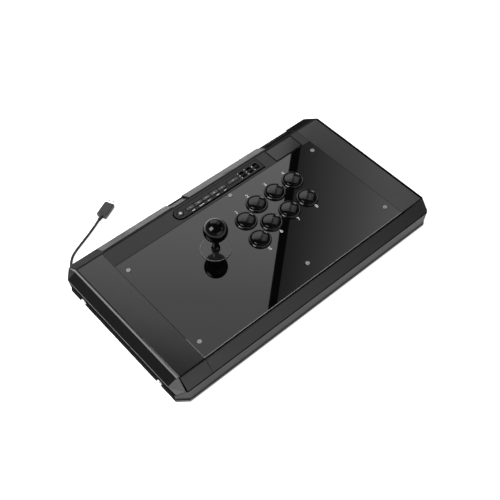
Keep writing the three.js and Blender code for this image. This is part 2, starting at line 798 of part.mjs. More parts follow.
// From the coil, along the inside of the back wall, out through it and over the table.
const CORD_ROUTE = [
  [33.7, 122, 9],
  [12, 121.5, 9],
  [-14, 120, 9],
  [-38, 118, 8.6],
  [-66, 114, 7.4],
  [-100, 110.5, 7.1],
  [-140, 108, 7.1],
  [-174, 106.6, 7.1],
  [-196, 107.4, 7.3],
  [-210, 112.6, 8],
  [-217, 121, 8.8],
  [-219, 130, 9],
  [-219.4, 138, 7],
  [-219, 144, 4.1],
  [-217, 150, 2.4],
  [-212, 157, 2.2],
  [-205, 163.4, 2.2],
  [-196, 168.6, 2.2],
  [-182, 174.6, 2.2],
  [-166, 181, 2.4],
  [-150, 187.6, 3.2],
  [-137.4, 193.4, 4],
];

function cordTube() {
  const curve = new THREE.CatmullRomCurve3(CORD_ROUTE.map((point) => new THREE.Vector3(...point)));
  const section = new THREE.Shape();
  section.absarc(0, 0, CORD_DIAMETER / 2, 0, 2 * Math.PI);
  return new THREE.ExtrudeGeometry(section, { steps: 52, curveSegments: 4, extrudePath: curve });
}

function cordCoil() {
  const { inner, outer, bottom, top } = COIL;
  return turned([[inner, bottom], [outer, bottom], [outer, top], [inner, top], [inner, bottom]], 32);
}

// A flat plug: a boot on the cable, a grip and a metal shell.
function cordPlug() {
  const grip = roundedSlab(8, 35, -8, 8, -3.8, 4.2, 2.5);
  const boot = new THREE.CylinderGeometry(3.4, 2.4, 8.4, 12).rotateZ(-Math.PI / 2).translate(4.2, 0, 0);
  const shell = block(34, 47, -6, 6, -2.2, 2.3);
  return join(grip, boot, shell);
}

add('cable_coil', cordCoil(), 'rubber', [COIL.x, COIL.y, 0]);
add('cable', cordTube(), 'rubber');
const [beforeEnd, end] = CORD_ROUTE.slice(-2);
const heading = Math.atan2(end[1] - beforeEnd[1], end[0] - beforeEnd[0]);
const plugStart = [end[0] + GAP * Math.cos(heading), end[1] + GAP * Math.sin(heading), end[2]];
add('usb_plug', cordPlug(), 'rubber', plugStart).rotation.z = heading;

export default panel;
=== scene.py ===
# Looks for the arcade joystick panel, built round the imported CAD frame.
# Lengths in the tables are millimetres in the CAD frame; meshes are made in metres.
import math
from collections import namedtuple

import bmesh
import bpy
from mathutils import Matrix, Vector


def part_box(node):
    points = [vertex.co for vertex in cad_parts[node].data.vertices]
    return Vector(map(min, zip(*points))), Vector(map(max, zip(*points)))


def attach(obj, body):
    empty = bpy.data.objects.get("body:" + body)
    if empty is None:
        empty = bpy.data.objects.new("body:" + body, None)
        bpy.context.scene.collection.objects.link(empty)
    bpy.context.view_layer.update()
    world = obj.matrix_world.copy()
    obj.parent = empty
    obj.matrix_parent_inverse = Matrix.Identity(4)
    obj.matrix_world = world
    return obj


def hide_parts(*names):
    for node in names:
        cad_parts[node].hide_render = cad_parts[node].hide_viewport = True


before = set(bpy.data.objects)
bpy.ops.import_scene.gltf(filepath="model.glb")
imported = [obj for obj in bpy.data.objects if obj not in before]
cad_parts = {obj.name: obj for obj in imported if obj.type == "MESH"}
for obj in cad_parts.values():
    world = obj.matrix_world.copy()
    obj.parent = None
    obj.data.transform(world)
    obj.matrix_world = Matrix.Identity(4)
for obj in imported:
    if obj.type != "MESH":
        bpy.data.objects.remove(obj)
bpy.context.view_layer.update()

MM = 0.001
TAU = 2 * math.pi
UP = Vector((0, 0, 1))
scene = bpy.context.scene


def add_object(name, data):
    obj = bpy.data.objects.new(name, data)
    scene.collection.objects.link(obj)
    return obj


# ---------------- dimensions

Box = namedtuple("Box", "left right front back low high")


def extent(node):
    """The box of a CAD node at rest, in millimetres."""
    low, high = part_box(node)
    return Box(*[round(value / MM, 2) for pair in zip(low, high) for value in pair])


def middle(node):
    """The middle of a CAD node in plan."""
    box = extent(node)
    return round((box.left + box.right) / 2, 2), round((box.front + box.back) / 2, 2)


COVER = extent("clear_cover")
PLATE = extent("face_plate")
STRIP = extent("control_pod")
PAD = extent("touchpad")
BASE = extent("bottom_plate")
TOP_Z = COVER.high
WAIST_Z = 30.5
LEVER = middle("lever_shaft")
PIVOT_Z = 36
BALL_RADIUS = 17.5
BALL_Z = extent("ball_top").high - BALL_RADIUS
SHAFT_RADIUS = 4.75
BUTTONS = [middle(f"button_plunger_{i}") for i in range(1, 9)]
SCREWS = [middle(f"panel_screw_{i}") for i in range(1, 7)]
STRIP_FLOOR = 44
PAD_FLOOR = PAD.low - 0.8

# Keys stand in pockets that are KEY_GAP wider on each side than the CAD keys.
KEY_GAP = 0.35
FIRST_KEY = extent("function_key_1")
MUTE_KEY = extent("mute_key")
KEY_PITCH = extent("function_key_2").left - FIRST_KEY.left
KEYS_LEFT = FIRST_KEY.left - KEY_GAP
KEY_FRONT, KEY_BACK = FIRST_KEY.front - KEY_GAP, FIRST_KEY.back + KEY_GAP
MUTE_LEFT, MUTE_RIGHT = MUTE_KEY.left - KEY_GAP, MUTE_KEY.right + KEY_GAP
HOME = middle("home_button")
HOME_RADIUS = 4.5
SWITCHES = [middle(f"slide_switch_{i}") for i in (1, 2, 3)]

# ---------------- camera

CAMERA_PLACE = Vector((-0.5509, -0.57765, 1.0179))
CAMERA_TARGET = Vector((-0.026545, -0.02177, 0.047))
CAMERA_ROLL = math.radians(1.953)
SENSOR_WIDTH, LENS = 36, 63.36


def make_camera():
    data = bpy.data.cameras.new("camera")
    data.sensor_width = SENSOR_WIDTH
    data.lens = LENS
    data.clip_start, data.clip_end = 0.05, 50
    camera = add_object("camera", data)
    roll = Matrix.Rotation(CAMERA_ROLL, 4, "Z")
    look = (CAMERA_TARGET - CAMERA_PLACE).to_track_quat("-Z", "Y").to_matrix().to_4x4()
    camera.matrix_world = Matrix.Translation(CAMERA_PLACE) @ look @ roll
    scene.camera = camera


make_camera()

# ---------------- materials


def set_sockets(node, sockets):
    for name, value in sockets.items():
        node.inputs[name].default_value = value


def surface(
    name, color, roughness, spread=0.0, grain=0.0, depth=0.0, blotch=0.0, blotch_mm=30, specular=0.5,
    **sockets,
):
    """A Principled material. Roughness varies by spread in patches, grain (mm) and depth (mm) set a fine
    bump, and blotch is how far the colour wanders from its mean, over patches of about blotch_mm."""
    material = bpy.data.materials.new(name)
    material.use_nodes = True
    tree = material.node_tree
    nodes, links = tree.nodes, tree.links
    bsdf = nodes["Principled BSDF"]
    set_sockets(bsdf, {"Base Color": (*color, 1), "Roughness": roughness, "Specular IOR Level": specular})
    set_sockets(bsdf, sockets)
    place = nodes.new("ShaderNodeTexCoord").outputs["Object"]
    if spread or blotch:
        cloud = nodes.new("ShaderNodeTexNoise")
        set_sockets(cloud, {"Scale": 1 / (blotch_mm * MM), "Detail": 5, "Roughness": 0.62})
        links.new(place, cloud.inputs["Vector"])
    if spread:
        rough = nodes.new("ShaderNodeMapRange")
        set_sockets(rough, {"From Min": 0.3, "From Max": 0.7})
        set_sockets(rough, {"To Min": roughness - spread, "To Max": roughness + spread})
        links.new(cloud.outputs["Fac"], rough.inputs["Value"])
        links.new(rough.outputs["Result"], bsdf.inputs["Roughness"])
    if blotch:
        mix = nodes.new("ShaderNodeMix")
        mix.data_type = "RGBA"
        mix.inputs["A"].default_value = (*[c * (1 - blotch) for c in color], 1)
        mix.inputs["B"].default_value = (*[c * (1 + blotch) for c in color], 1)
        links.new(cloud.outputs["Fac"], mix.inputs["Factor"])
        links.new(mix.outputs["Result"], bsdf.inputs["Base Color"])
    if grain:
        noise = nodes.new("ShaderNodeTexNoise")
        set_sockets(noise, {"Scale": 1 / (grain * MM), "Detail": 2})
        links.new(place, noise.inputs["Vector"])
        bump = nodes.new("ShaderNodeBump")
        set_sockets(bump, {"Strength": 1, "Distance": depth * MM})
        links.new(noise.outputs["Fac"], bump.inputs["Height"])
        links.new(bump.outputs["Normal"], bsdf.inputs["Normal"])
    return material


def grey(value):
    return (value, value, value * 1.03)


def polished(name, value, roughness, spread, specular=0.5):
    return surface(name, grey(value), roughness, spread, blotch=0.15, blotch_mm=9, specular=specular)


# Colour, roughness, its spread, grain, its depth, blotch and blotch_mm, in that order.
MATTE = surface("matte_shell", grey(0.006), 0.17, 0.03, 0.35, 0.008, 0.1)
# Painted shade: a darker, less shiny copy of the shell colour for the end slopes and the back slope's left
# end.
SIDE_SHADED = surface("shell_side_painted_shade", grey(0.002), 0.5, 0.04, 0.35, 0.014, 0.1, specular=0.06)
# Painted light: a lighter copy of the shell colour for the side shells' cut corners.
CORNER_LIT = surface("shell_corner_painted_light", grey(0.05), 0.4, 0.03, 0.35, 0.012, 0.1)
# Painted highlight: a light line along the side shells' waist edge.
WAIST_HIGHLIGHT = surface("waist_painted_highlight", grey(0.13), 0.4, 0.03, 0.3, 0.004, 0.08, 10)
# Painted highlight: light lines on the cover's front edge, the left shell's upper long edge and the washer's
# rim.
EDGE_HIGHLIGHT = surface("painted_edge_highlight", grey(0.17), 0.35, 0.03, 0.3, 0.004, 0.08, 10)
SHADOW = surface("seam_shadow", grey(0.001), 0.9, 0.05, 0.5, 0.01, 0.1, specular=0)
DARK = surface("dark_shell", grey(0.008), 0.32, 0.03, 0.4, 0.01, 0.1)
# Painted shade: a copy of the dark shell colour that reflects less, for the back slope and the bay door.
BACK_SHADED = surface("back_painted_shade", grey(0.008), 0.34, 0.03, 0.4, 0.01, 0.1, specular=0.2)
# Painted shade: a darker copy of the case colour that does not reflect, for the case's end walls and the back
# slope's dark parts.
CASE_SHADED = surface("case_painted_shade", grey(0.009), 0.6, 0.04, 0.4, 0.01, 0.1, specular=0)
CASE = surface("case_shell", grey(0.005), 0.36, 0.03, 0.4, 0.01, 0.1, specular=0.16)
# Painted light: a lighter copy of the case colour for the case's front flange.
FLANGE_LIT = surface("case_flange_painted_light", grey(0.03), 0.36, 0.03, 0.4, 0.01, 0.1)
STRIP_TOP = surface("strip_plastic", grey(0.006), 0.34, 0.03, 0.3, 0.008, 0.1, 12, specular=0.2)
CAP = polished("cap_black", 0.003, 0.09, 0.02, specular=0.3)
KNOB = surface("switch_knob", grey(0.003), 0.4, 0.04, 0.3, 0.004, 0.1, 4, specular=0.2)
KEY = surface("key_plastic", grey(0.012), 0.35, 0.03, 0.3, 0.006, 0.1, 12)
BAND = surface("painted_plate", grey(0.010), 0.4, 0.03, 0.25, 0.01, 0.08, specular=0.32)
SHEET = surface("clear_sheet", grey(0.0012), 0.014, 0.004, blotch=0.2, blotch_mm=60)
GLOSS = polished("gloss_black", 0.002, 0.035, 0.01)
PAD_FACE = polished("touch_surface", 0.003, 0.14, 0.02, specular=0.32)
RIM = polished("gloss_rim", 0.002, 0.05, 0.015)
BALL = polished("ball_black", 0.002, 0.11, 0.015, specular=0.22)
STEEL = surface("bright_steel", (0.5, 0.5, 0.51), 0.32, 0.06, 0.2, 0.004, 0.12, 4, Metallic=1)
CHROME = surface("chrome", (0.9, 0.9, 0.91), 0.2, 0.04, blotch=0.06, blotch_mm=4, Metallic=1)
BOLT = surface("bolt_head", (0.85, 0.85, 0.86), 0.3, 0.04, blotch=0.06, blotch_mm=4, Metallic=0.4)
RUBBER = surface("foot_rubber", grey(0.02), 0.8, 0.06, 0.5, 0.03, 0.15, 8)
JACKET = surface("cable_jacket", grey(0.010), 0.45, 0.04, 0.3, 0.012, 0.1, 10)
INNER = surface("inner_plastic", grey(0.02), 0.5, 0.05, 0.4, 0.01, 0.1)
BOARD = surface("circuit_board", (0.012, 0.07, 0.03), 0.35, 0.05, 1.2, 0.01, 0.25, 6)
CHIP = surface("chip", grey(0.015), 0.45, 0.04, 0.2, 0.004, 0.1, 5)
INK = surface("mark_ink", grey(0.58), 0.5, 0.04, 0.2, 0.003, 0.06, 3)
SCREW = surface("screw_face", grey(0.27), 0.5, 0.04, 0.25, 0.003, 0.08, 4, specular=0.2)
CLEAR = surface(
    "smoked_clear", grey(0.03), 0.06, 0.02, blotch=0.06, blotch_mm=10,
    **{"Transmission Weight": 0.6, "IOR": 1.49},
)

# ---------------- mesh helpers


def soft(points, radius, steps=3, closed=False):
    """An outline with its corners rounded by short curves."""
    out = []
    count = len(points)
    for i, point in enumerate(points):
        if not closed and i in (0, count - 1):
            out.append(tuple(point))
            continue
        p = Vector(point)
        before, after = Vector(points[i - 1]), Vector(points[(i + 1) % count])
        reach_a = min(radius, (before - p).length * 0.45)
        reach_b = min(radius, (after - p).length * 0.45)
        a = p + (before - p).normalized() * reach_a
        b = p + (after - p).normalized() * reach_b
        for k in range(steps + 1):
            t = k / steps
            out.append(tuple((1 - t) ** 2 * a + 2 * t * (1 - t) * p + t * t * b))
    return out


def mesh_from(vertices, faces):
    mesh = bpy.data.meshes.new("part")
    mesh.from_pydata([tuple(c * MM for c in v) for v in vertices], [], faces)
    return mesh


def lathe(profile, at=(0, 0), segments=72, ring=False, shape=None):
    """A turned mesh about a vertical axis from (radius, z) points, lowest outer side first.
    shape(i, angle) scales the radius of profile point i, for sockets that aren't round."""
    vertices, rows = [], []
    for i, (radius, z) in enumerate(profile):
        if radius < 1e-6:
            rows.append([len(vertices)])
            vertices.append((at[0], at[1], z))
            continue
        row = []
        for k in range(segments):
            angle = TAU * k / segments
            r = radius * (shape(i, angle) if shape else 1)
            row.append(len(vertices))
            vertices.append((at[0] + r * math.cos(angle), at[1] + r * math.sin(angle), z))
        rows.append(row)
    faces = []
    pairs = list(zip(rows, rows[1:])) + ([(rows[-1], rows[0])] if ring else [])
    for low, high in pairs:
        for k in range(segments):
            n = (k + 1) % segments
            if len(low) == 1 and len(high) == 1:
                continue
            if len(low) == 1:
                faces.append((low[0], high[n], high[k]))
            elif len(high) == 1:
                faces.append((low[k], low[n], high[0]))
            else:
                faces.append((low[k], low[n], high[n], high[k]))
    return mesh_from(vertices, faces)


def hexagonal(first):
    """Makes profile points from the given one on six-sided, by distance across flats."""
    def factor(i, angle):
        if i < first:
            return 1
        return 1 / math.cos((angle % (math.pi / 3)) - math.pi / 6)
    return factor


def baked(data):
    """The mesh of a curve or a text."""
    holder = add_object("holder", data)
    graph = bpy.context.evaluated_depsgraph_get()
    mesh = bpy.data.meshes.new_from_object(holder.evaluated_get(graph))
    bpy.data.objects.remove(holder)
    return mesh


def plate(outer, holes, z0, z1, edge=0.3):
    """A flat piece with rounded edges from plan outlines."""
    data = bpy.data.curves.new("plate", "CURVE")
    data.dimensions = "2D"
    data.fill_mode = "BOTH"
    data.extrude = ((z1 - z0) / 2 - edge) * MM
    data.bevel_depth = edge * MM
    data.bevel_resolution = 1
    data.offset = -edge * MM
    for outline in [outer, *holes]:
        spline = data.splines.new("POLY")
        spline.points.add(len(outline) - 1)
        for point, (x, y) in zip(spline.points, outline):
            point.co = (x * MM, y * MM, 0, 1)
        spline.use_cyclic_u = True
    mesh = baked(data)
    mesh.transform(Matrix.Translation((0, 0, (z0 + z1) / 2 * MM)))
    return mesh


def rectangle(x0, x1, y0, y1, radius=0.0, steps=3):
    corners = [(x0, y0), (x1, y0), (x1, y1), (x0, y1)]
    return soft(corners, radius, steps, closed=True) if radius else corners


def circle(x, y, radius, count=64):
    angles = [TAU * k / count for k in range(count)]
    return [(x + radius * math.cos(angle), y + radius * math.sin(angle)) for angle in angles]


def finished(bm, name):
    mesh = bpy.data.meshes.new(name)
    bm.to_mesh(mesh)
    bm.free()
    return mesh


def round_edges(bm, edges, radius, segments, clamp):
    """Rounds edges by radius. clamp stops neighbours from overlapping."""
    bmesh.ops.bevel(
        bm, geom=edges, offset=radius * MM, segments=segments, profile=0.5, affect="EDGES",
        clamp_overlap=clamp,
    )


def rounded_block(x0, x1, y0, y1, z0, z1, edge=0.4, segments=3):
    bm = bmesh.new()
    bmesh.ops.create_cube(bm, size=1)
    size = Vector((x1 - x0, y1 - y0, z1 - z0)) * MM
    centre = Vector((x0 + x1, y0 + y1, z0 + z1)) * (MM / 2)
    for vertex in bm.verts:
        vertex.co = Vector([c * s for c, s in zip(vertex.co, size)]) + centre
    round_edges(bm, bm.edges[:], edge, segments, clamp=True)
    return finished(bm, "block")


def centred_block(x, y, width, depth, low, high, edge=0.1, segments=1):
    """A rounded block by its middle and its size in plan."""
    half_w, half_d = width / 2, depth / 2
    return rounded_block(x - half_w, x + half_w, y - half_d, y + half_d, low, high, edge, segments)


# Facets that meet at less than FLAT_ANGLE are one face; edges sharper than CORNER_ANGLE are rounded.
FLAT_ANGLE = math.radians(0.5)
CORNER_ANGLE = math.radians(14)


def cad_copy(node, edge=0.35, segments=2, where=None):
    """The CAD node's mesh with its flat facets joined and those edges rounded that where(centre) picks."""
    bm = bmesh.new()
    bm.from_mesh(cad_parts[node].data)
    bmesh.ops.remove_doubles(bm, verts=bm.verts[:], dist=2e-6)
    bmesh.ops.dissolve_limit(
        bm, angle_limit=FLAT_ANGLE, verts=bm.verts[:], edges=bm.edges[:], use_dissolve_boundaries=False,
    )
    picked = []
    for line in bm.edges:
        if len(line.link_faces) != 2 or line.calc_face_angle(0) < CORNER_ANGLE:
            continue
        centre = (line.verts[0].co + line.verts[1].co) / (2 * MM)
        if where is None or where(centre):
            picked.append(line)
    round_edges(bm, picked, edge, segments, clamp=False)
    return finished(bm, node)


def moved(mesh, matrix):
    mesh.transform(matrix)
    return mesh


def piece(name, parts, body="panel", replaces=(), sharp=32, pick=None):
    """One object from (mesh, material) parts. pick(face) may give a face another of its materials."""
    bm = bmesh.new()
    materials = []

    def index_of(material):
        if material not in materials:
            materials.append(material)
        return materials.index(material)

    for mesh, material in parts:
        first, index = len(bm.faces), index_of(material)
        bm.from_mesh(mesh)
        bm.faces.ensure_lookup_table()
        for face in bm.faces[first:]:
            face.material_index = index
    bmesh.ops.remove_doubles(bm, verts=bm.verts[:], dist=1e-7)
    bm.normal_update()
    if pick:
        for face in bm.faces:
            material = pick(face)
            if material is not None:
                face.material_index = index_of(material)
    for face in bm.faces:
        face.smooth = True
    mesh = finished(bm, name)
    for material in materials:
        mesh.materials.append(material)
    mesh.set_sharp_from_angle(angle=math.radians(sharp))
    obj = add_object(name, mesh)
    weighted = obj.modifiers.new("normals", "WEIGHTED_NORMAL")
    weighted.keep_sharp = True
    weighted.weight = 60
    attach(obj, body)
    if replaces:
        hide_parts(*([replaces] if isinstance(replaces, str) else replaces))
    return obj


# ---------------- cable

CORD_DIAMETER = 4
COIL_CENTRE = middle("cable_coil")
COIL_RADII = [14, 18, 22, 26, 30]
COIL_LOW, COIL_HIGH = 8.9, 23.8
TURNS_PER_LAYER = 3.72
POINTS_PER_TURN = 16
LEAD_IN_TURNS = 1 / 3
HUB_EXIT_RADIUS = 10.6
HUB_EXIT_Z = 26.2
LAYER_CHANGE = 0.07
TIE_ANGLE = math.radians(-62)
TIE_WIDTH, TIE_THICKNESS = 9, 0.22
PLUG_GAP = 0.3

CORD_ROUTE = [
    (33.7, 122, 9), (12, 121.5, 9), (-14, 120, 9), (-38, 118, 8.6), (-66, 114, 7.4), (-100, 110.5, 7.1),
    (-140, 108, 7.1), (-174, 106.6, 7.1), (-196, 107.4, 7.3), (-210, 112.6, 8), (-217, 121, 8.8),
    (-219, 130, 9), (-219.4, 138, 7), (-219, 144, 4.1), (-217, 150, 2.4), (-212, 157, 2.2),
    (-205, 163.4, 2.2), (-196, 168.6, 2.2), (-182, 174.6, 2.2), (-166, 181, 2.4), (-150, 187.6, 3.2),
    (-137.4, 193.4, 4),
]


def smooth_step(t):
    t = min(1, max(0, t))
    return t * t * (3 - 2 * t)


def coil_points():
    """From the hub through five layers, down and up by turns, to the bottom of the outermost."""
    end_angle = math.pi / 2
    total = TURNS_PER_LAYER * len(COIL_RADII)
    start_angle = end_angle - total * TAU
    points = []
    lead = int(LEAD_IN_TURNS * POINTS_PER_TURN) + 1
    for k in range(lead):
        t = k / lead
        angle = start_angle - LEAD_IN_TURNS * TAU * (1 - t)
        radius = HUB_EXIT_RADIUS + (COIL_RADII[0] - HUB_EXIT_RADIUS) * smooth_step(t)
        z = HUB_EXIT_Z + (COIL_HIGH - HUB_EXIT_Z) * smooth_step(t)
        points.append((angle, radius, z))
    steps = int(TURNS_PER_LAYER * POINTS_PER_TURN)
    for layer, radius in enumerate(COIL_RADII):
        top_first = layer % 2 == 0
        for k in range(steps):
            t = k / steps
            angle = start_angle + (layer + t) * TURNS_PER_LAYER * TAU
            change = smooth_step((t - 1 + LAYER_CHANGE) / LAYER_CHANGE)
            following = COIL_RADII[min(layer + 1, len(COIL_RADII) - 1)]
            r = radius + (following - radius) * change
            drop = t if top_first else 1 - t
            points.append((angle, r, COIL_HIGH + (COIL_LOW - COIL_HIGH) * drop))
    x, y = COIL_CENTRE
    points.append((end_angle, COIL_RADII[-1], COIL_LOW))
    return [(x + r * math.cos(a), y + r * math.sin(a), z) for a, r, z in points]


def spline_through(points, per_span):
    """Catmull-Rom points through the route."""
    vectors = [Vector(p) for p in points]
    vectors = [2 * vectors[0] - vectors[1], *vectors, 2 * vectors[-1] - vectors[-2]]
    out = []
    for a, b, c, d in zip(vectors, vectors[1:], vectors[2:], vectors[3:]):
        for k in range(per_span):
            t = k / per_span
            out.append(0.5 * (2 * b + (c - a) * t + (2 * a - 5 * b + 4 * c - d) * t * t
                              + (3 * b - a - 3 * c + d) * t ** 3))
    out.append(vectors[-2])
    return out


def make_cord():
    coil = [Vector(p) for p in coil_points()]
    points = coil + spline_through(CORD_ROUTE, 5)
    length = sum((b - a).length for a, b in zip(points, points[1:]))
    data = bpy.data.curves.new("cable_cord", "CURVE")
    data.dimensions = "3D"
    data.bevel_depth = CORD_DIAMETER / 2 * MM
    data.bevel_resolution = 3
    data.use_fill_caps = True
    spline = data.splines.new("POLY")
    spline.points.add(len(points) - 1)
    for point, place in zip(spline.points, points):
        point.co = (*(place * MM), 1)
    spline.use_smooth = True
    data.materials.append(JACKET)
    cord = add_object("cable_cord", data)
    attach(cord, "panel")
    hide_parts("cable", "cable_coil")
    return cord, points, length


def sleeve(points, radii, segments=20):
    """A tube of changing radius along points, closed at both ends."""
    vertices, faces = [], []
    for i, (point, radius) in enumerate(zip(points, radii)):
        ahead = (points[min(i + 1, len(points) - 1)] - points[max(i - 1, 0)]).normalized()
        side = ahead.cross(UP).normalized()
        up = side.cross(ahead)
        for k in range(segments):
            angle = TAU * k / segments
            vertices.append(tuple(point + (side * math.cos(angle) + up * math.sin(angle)) * radius))
    for i in range(len(points) - 1):
        for k in range(segments):
            n = (k + 1) % segments
            a, b = i * segments, (i + 1) * segments
            faces.append((a + k, b + k, b + n, a + n))
    faces.append(tuple(range(segments)))
    faces.append(tuple(reversed(range((len(points) - 1) * segments, len(points) * segments))))
    return mesh_from(vertices, faces)


def hub_relief(points):
    """The tapered, ringed strain relief where the cable leaves the hub."""
    run = spline_through([tuple(p) for p in points[:6]], 6)[:26]
    radii = []
    for i in range(len(run)):
        t = i / (len(run) - 1)
        ring = 0.22 if i % 4 < 2 else 0
        radii.append(3.0 - 0.8 * t + (ring if i < len(run) - 3 else 0))
    return sleeve(run, radii)


def coil_tie():
    """A flat strap round the coil's section."""
    x, y = COIL_CENTRE
    centre_r, centre_z = COIL_RADII[2], (COIL_LOW + COIL_HIGH) / 2
    half_r, half_z = 10.25, (COIL_HIGH - COIL_LOW + CORD_DIAMETER) / 2
    along = Vector((math.cos(TIE_ANGLE), math.sin(TIE_ANGLE), 0))
    across = Vector((-math.sin(TIE_ANGLE), math.cos(TIE_ANGLE), 0))
    outline = rectangle(-half_r, half_r, -half_z, half_z, 2.2, 5)
    vertices, faces = [], []
    count = len(outline)
    for side in (-TIE_WIDTH / 2, TIE_WIDTH / 2):
        for grow in (0, TIE_THICKNESS):
            for r, z in outline:
                scale_r, scale_z = (half_r + grow) / half_r, (half_z + grow) / half_z
                place = Vector((x, y, 0)) + along * (centre_r + r * scale_r) + across * side
                vertices.append((place.x, place.y, centre_z + z * scale_z))
    for k in range(count):
        n = (k + 1) % count
        inner_a, outer_a, inner_b, outer_b = 0, count, 2 * count, 3 * count
        faces.append((outer_a + k, outer_a + n, outer_b + n, outer_b + k))
        faces.append((inner_a + n, inner_a + k, inner_b + k, inner_b + n))
        faces.append((inner_a + k, inner_a + n, outer_a + n, outer_a + k))
        faces.append((inner_b + n, inner_b + k, outer_b + k, outer_b + n))
    return mesh_from(vertices, faces)


def make_plug():
    """The plug: ringed boot, grip with finger ribs, and a metal shell with its two windows."""
    end, before = Vector(CORD_ROUTE[-1]), Vector(CORD_ROUTE[-2])
    heading = math.atan2(end.y - before.y, end.x - before.x)
    start = end + Vector((math.cos(heading), math.sin(heading), 0)) * PLUG_GAP
    place = Matrix.Translation(start * MM) @ Matrix.Rotation(heading, 4, "Z")
    boot = []
    for i in range(13):
        t = i / 12
        ring = 0.25 if i % 3 == 1 else -0.15
        boot.append((2.45 + 0.7 * t + ring, 8.3 * t))
    boot_mesh = lathe([(0, 0), *boot, (0, 8.35)], segments=32)
    boot_mesh.transform(Matrix.Rotation(math.pi / 2, 4, "Y"))
    parts = [(boot_mesh, JACKET), (rounded_block(8, 35, -8, 8, -3.8, 4.2, 1.3, 4), JACKET)]
    for x in (12, 15, 18, 21, 24):
        for side in (-1, 1):
            y0, y1 = sorted((side * 7.9, side * 8.25))
            parts.append((rounded_block(x - 0.6, x + 0.6, y0, y1, -2.2, 2.6, 0.15, 2), JACKET))
    parts.append((rounded_block(34.6, 46.9, -6, 6, -2.2, 2.3, 0.35, 2), CHROME))
    for y in (-2.9, 2.9):
        parts.append((rounded_block(38.6, 41, y - 1.2, y + 1.2, 2.28, 2.34, 0.02, 1), CHIP))
    plug = piece("plug", parts, replaces="usb_plug")
    plug.data.transform(place)
    return plug


cord, cord_points, cord_length = make_cord()
relief = piece("hub_strain_relief", [(hub_relief(cord_points), JACKET)])
tie = piece("coil_tie", [(coil_tie(), RUBBER)], sharp=40)
plug = make_plug()

# ---------------- case and rails

# The back slope gets painted shade left and right of BACK_SPAN and above CREST_Z, so its faces are cut there.
BACK_SPAN = (-182, 126.6)
CREST_Z = 43.4
# The waist edge of a side shell, with its painted highlight, ends at SHELL_WAIST_Z and that of the front
# rail, with its painted shade, at RAIL_WAIST_Z.
SHELL_WAIST_Z = WAIST_Z + 0.9
RAIL_WAIST_Z = WAIST_Z + 1.1
# The painted highlight along the cover's front edge ends at COVER_HIGHLIGHT_Y.
COVER_HIGHLIGHT_Y = COVER.front + 1.1


def outer_side(face):
    """Painted light and shade: steep outward faces at the two ends get a darker copy of the case colour, a
    painted shade, and the front flange a lighter one, painted light.
    """
    if abs(face.normal.x) > 0.85:
        return CASE_SHADED
    lit_flange = face.calc_center_median().z < 8 * MM and face.normal.y < -0.3
    return FLANGE_LIT if lit_flange else None


def shell_edge(centre):
    """Edges of a side shell to round: not the seam beside the cover, the tongue, or the cut corner's root."""
    if abs(centre.x) < 190 or 29.5 < centre.z < 30.8 and abs(centre.x) < 243.5:
        return False
    return not (centre.y < -108 and centre.z < 31.5)


def case_edge(centre):
    """The case's outer edges, near its ends or its front and back."""
    return abs(centre.x) > 225 or abs(centre.y) > 126.5


def rail_edge(centre):
    """A rail's edges above its foot."""
    return centre.z > 30.3


def shell_finish(face):
    """Painted light and shade: the end slope gets the darkest copy of the shell colour, a painted shade. The
    cut corners and the waist edge get lighter ones, painted light, and the upper long edge of the left shell
    a painted highlight, while that of the right shell gets the painted shadow colour."""
    centre, normal = face.calc_center_median() / MM, face.normal
    if abs(normal.x) > 0.5 and abs(normal.y) > 0.3 and 0.2 < normal.z < 0.6:
        return CORNER_LIT
    if abs(normal.x) > 0.55:
        return WAIST_HIGHLIGHT if WAIST_Z - 0.5 < centre.z < SHELL_WAIST_Z else SIDE_SHADED
    if abs(centre.x) > 230.6 and centre.z > 46 and abs(normal.y) < 0.3:
        if face.calc_area() < 900e-6:
            return EDGE_HIGHLIGHT if centre.x < 0 else SHADOW
    return None


def front_edge(face):
    """The cover's front edge gets a painted highlight, a light line."""
    centre = face.calc_center_median() / MM
    return EDGE_HIGHLIGHT if centre.y < COVER_HIGHLIGHT_Y and centre.z > TOP_Z - 0.8 else None


def waist_line(face):
    """The fascia's lower edge turns in towards the gap above the case and gets the painted shadow colour."""
    low = face.calc_center_median().z < (WAIST_Z + 1) * MM
    return SHADOW if low and face.normal.y < -0.2 else None


def back_ends(face):
    """Painted shade: the back slope gets darker colours at its ends, right of the door and in a strip along
    its crest.
    """
    centre = face.calc_center_median() / MM
    if face.normal.y < 0.3:
        return None
    if centre.x < BACK_SPAN[0]:
        return SIDE_SHADED
    return CASE_SHADED if centre.x > BACK_SPAN[1] or centre.z > CREST_Z else None


def split_at(mesh, places, axis=0):
    """Cuts the mesh's faces along planes square to the given axis."""
    bm = bmesh.new()
    bm.from_mesh(mesh)
    normal = [0, 0, 0]
    normal[axis] = 1
    for place in places:
        everything = bm.verts[:] + bm.edges[:] + bm.faces[:]
        point = [c * place * MM for c in normal]
        bmesh.ops.bisect_plane(bm, geom=everything, dist=1e-6, plane_co=point, plane_no=normal)
    bm.to_mesh(mesh)
    bm.free()
    return mesh


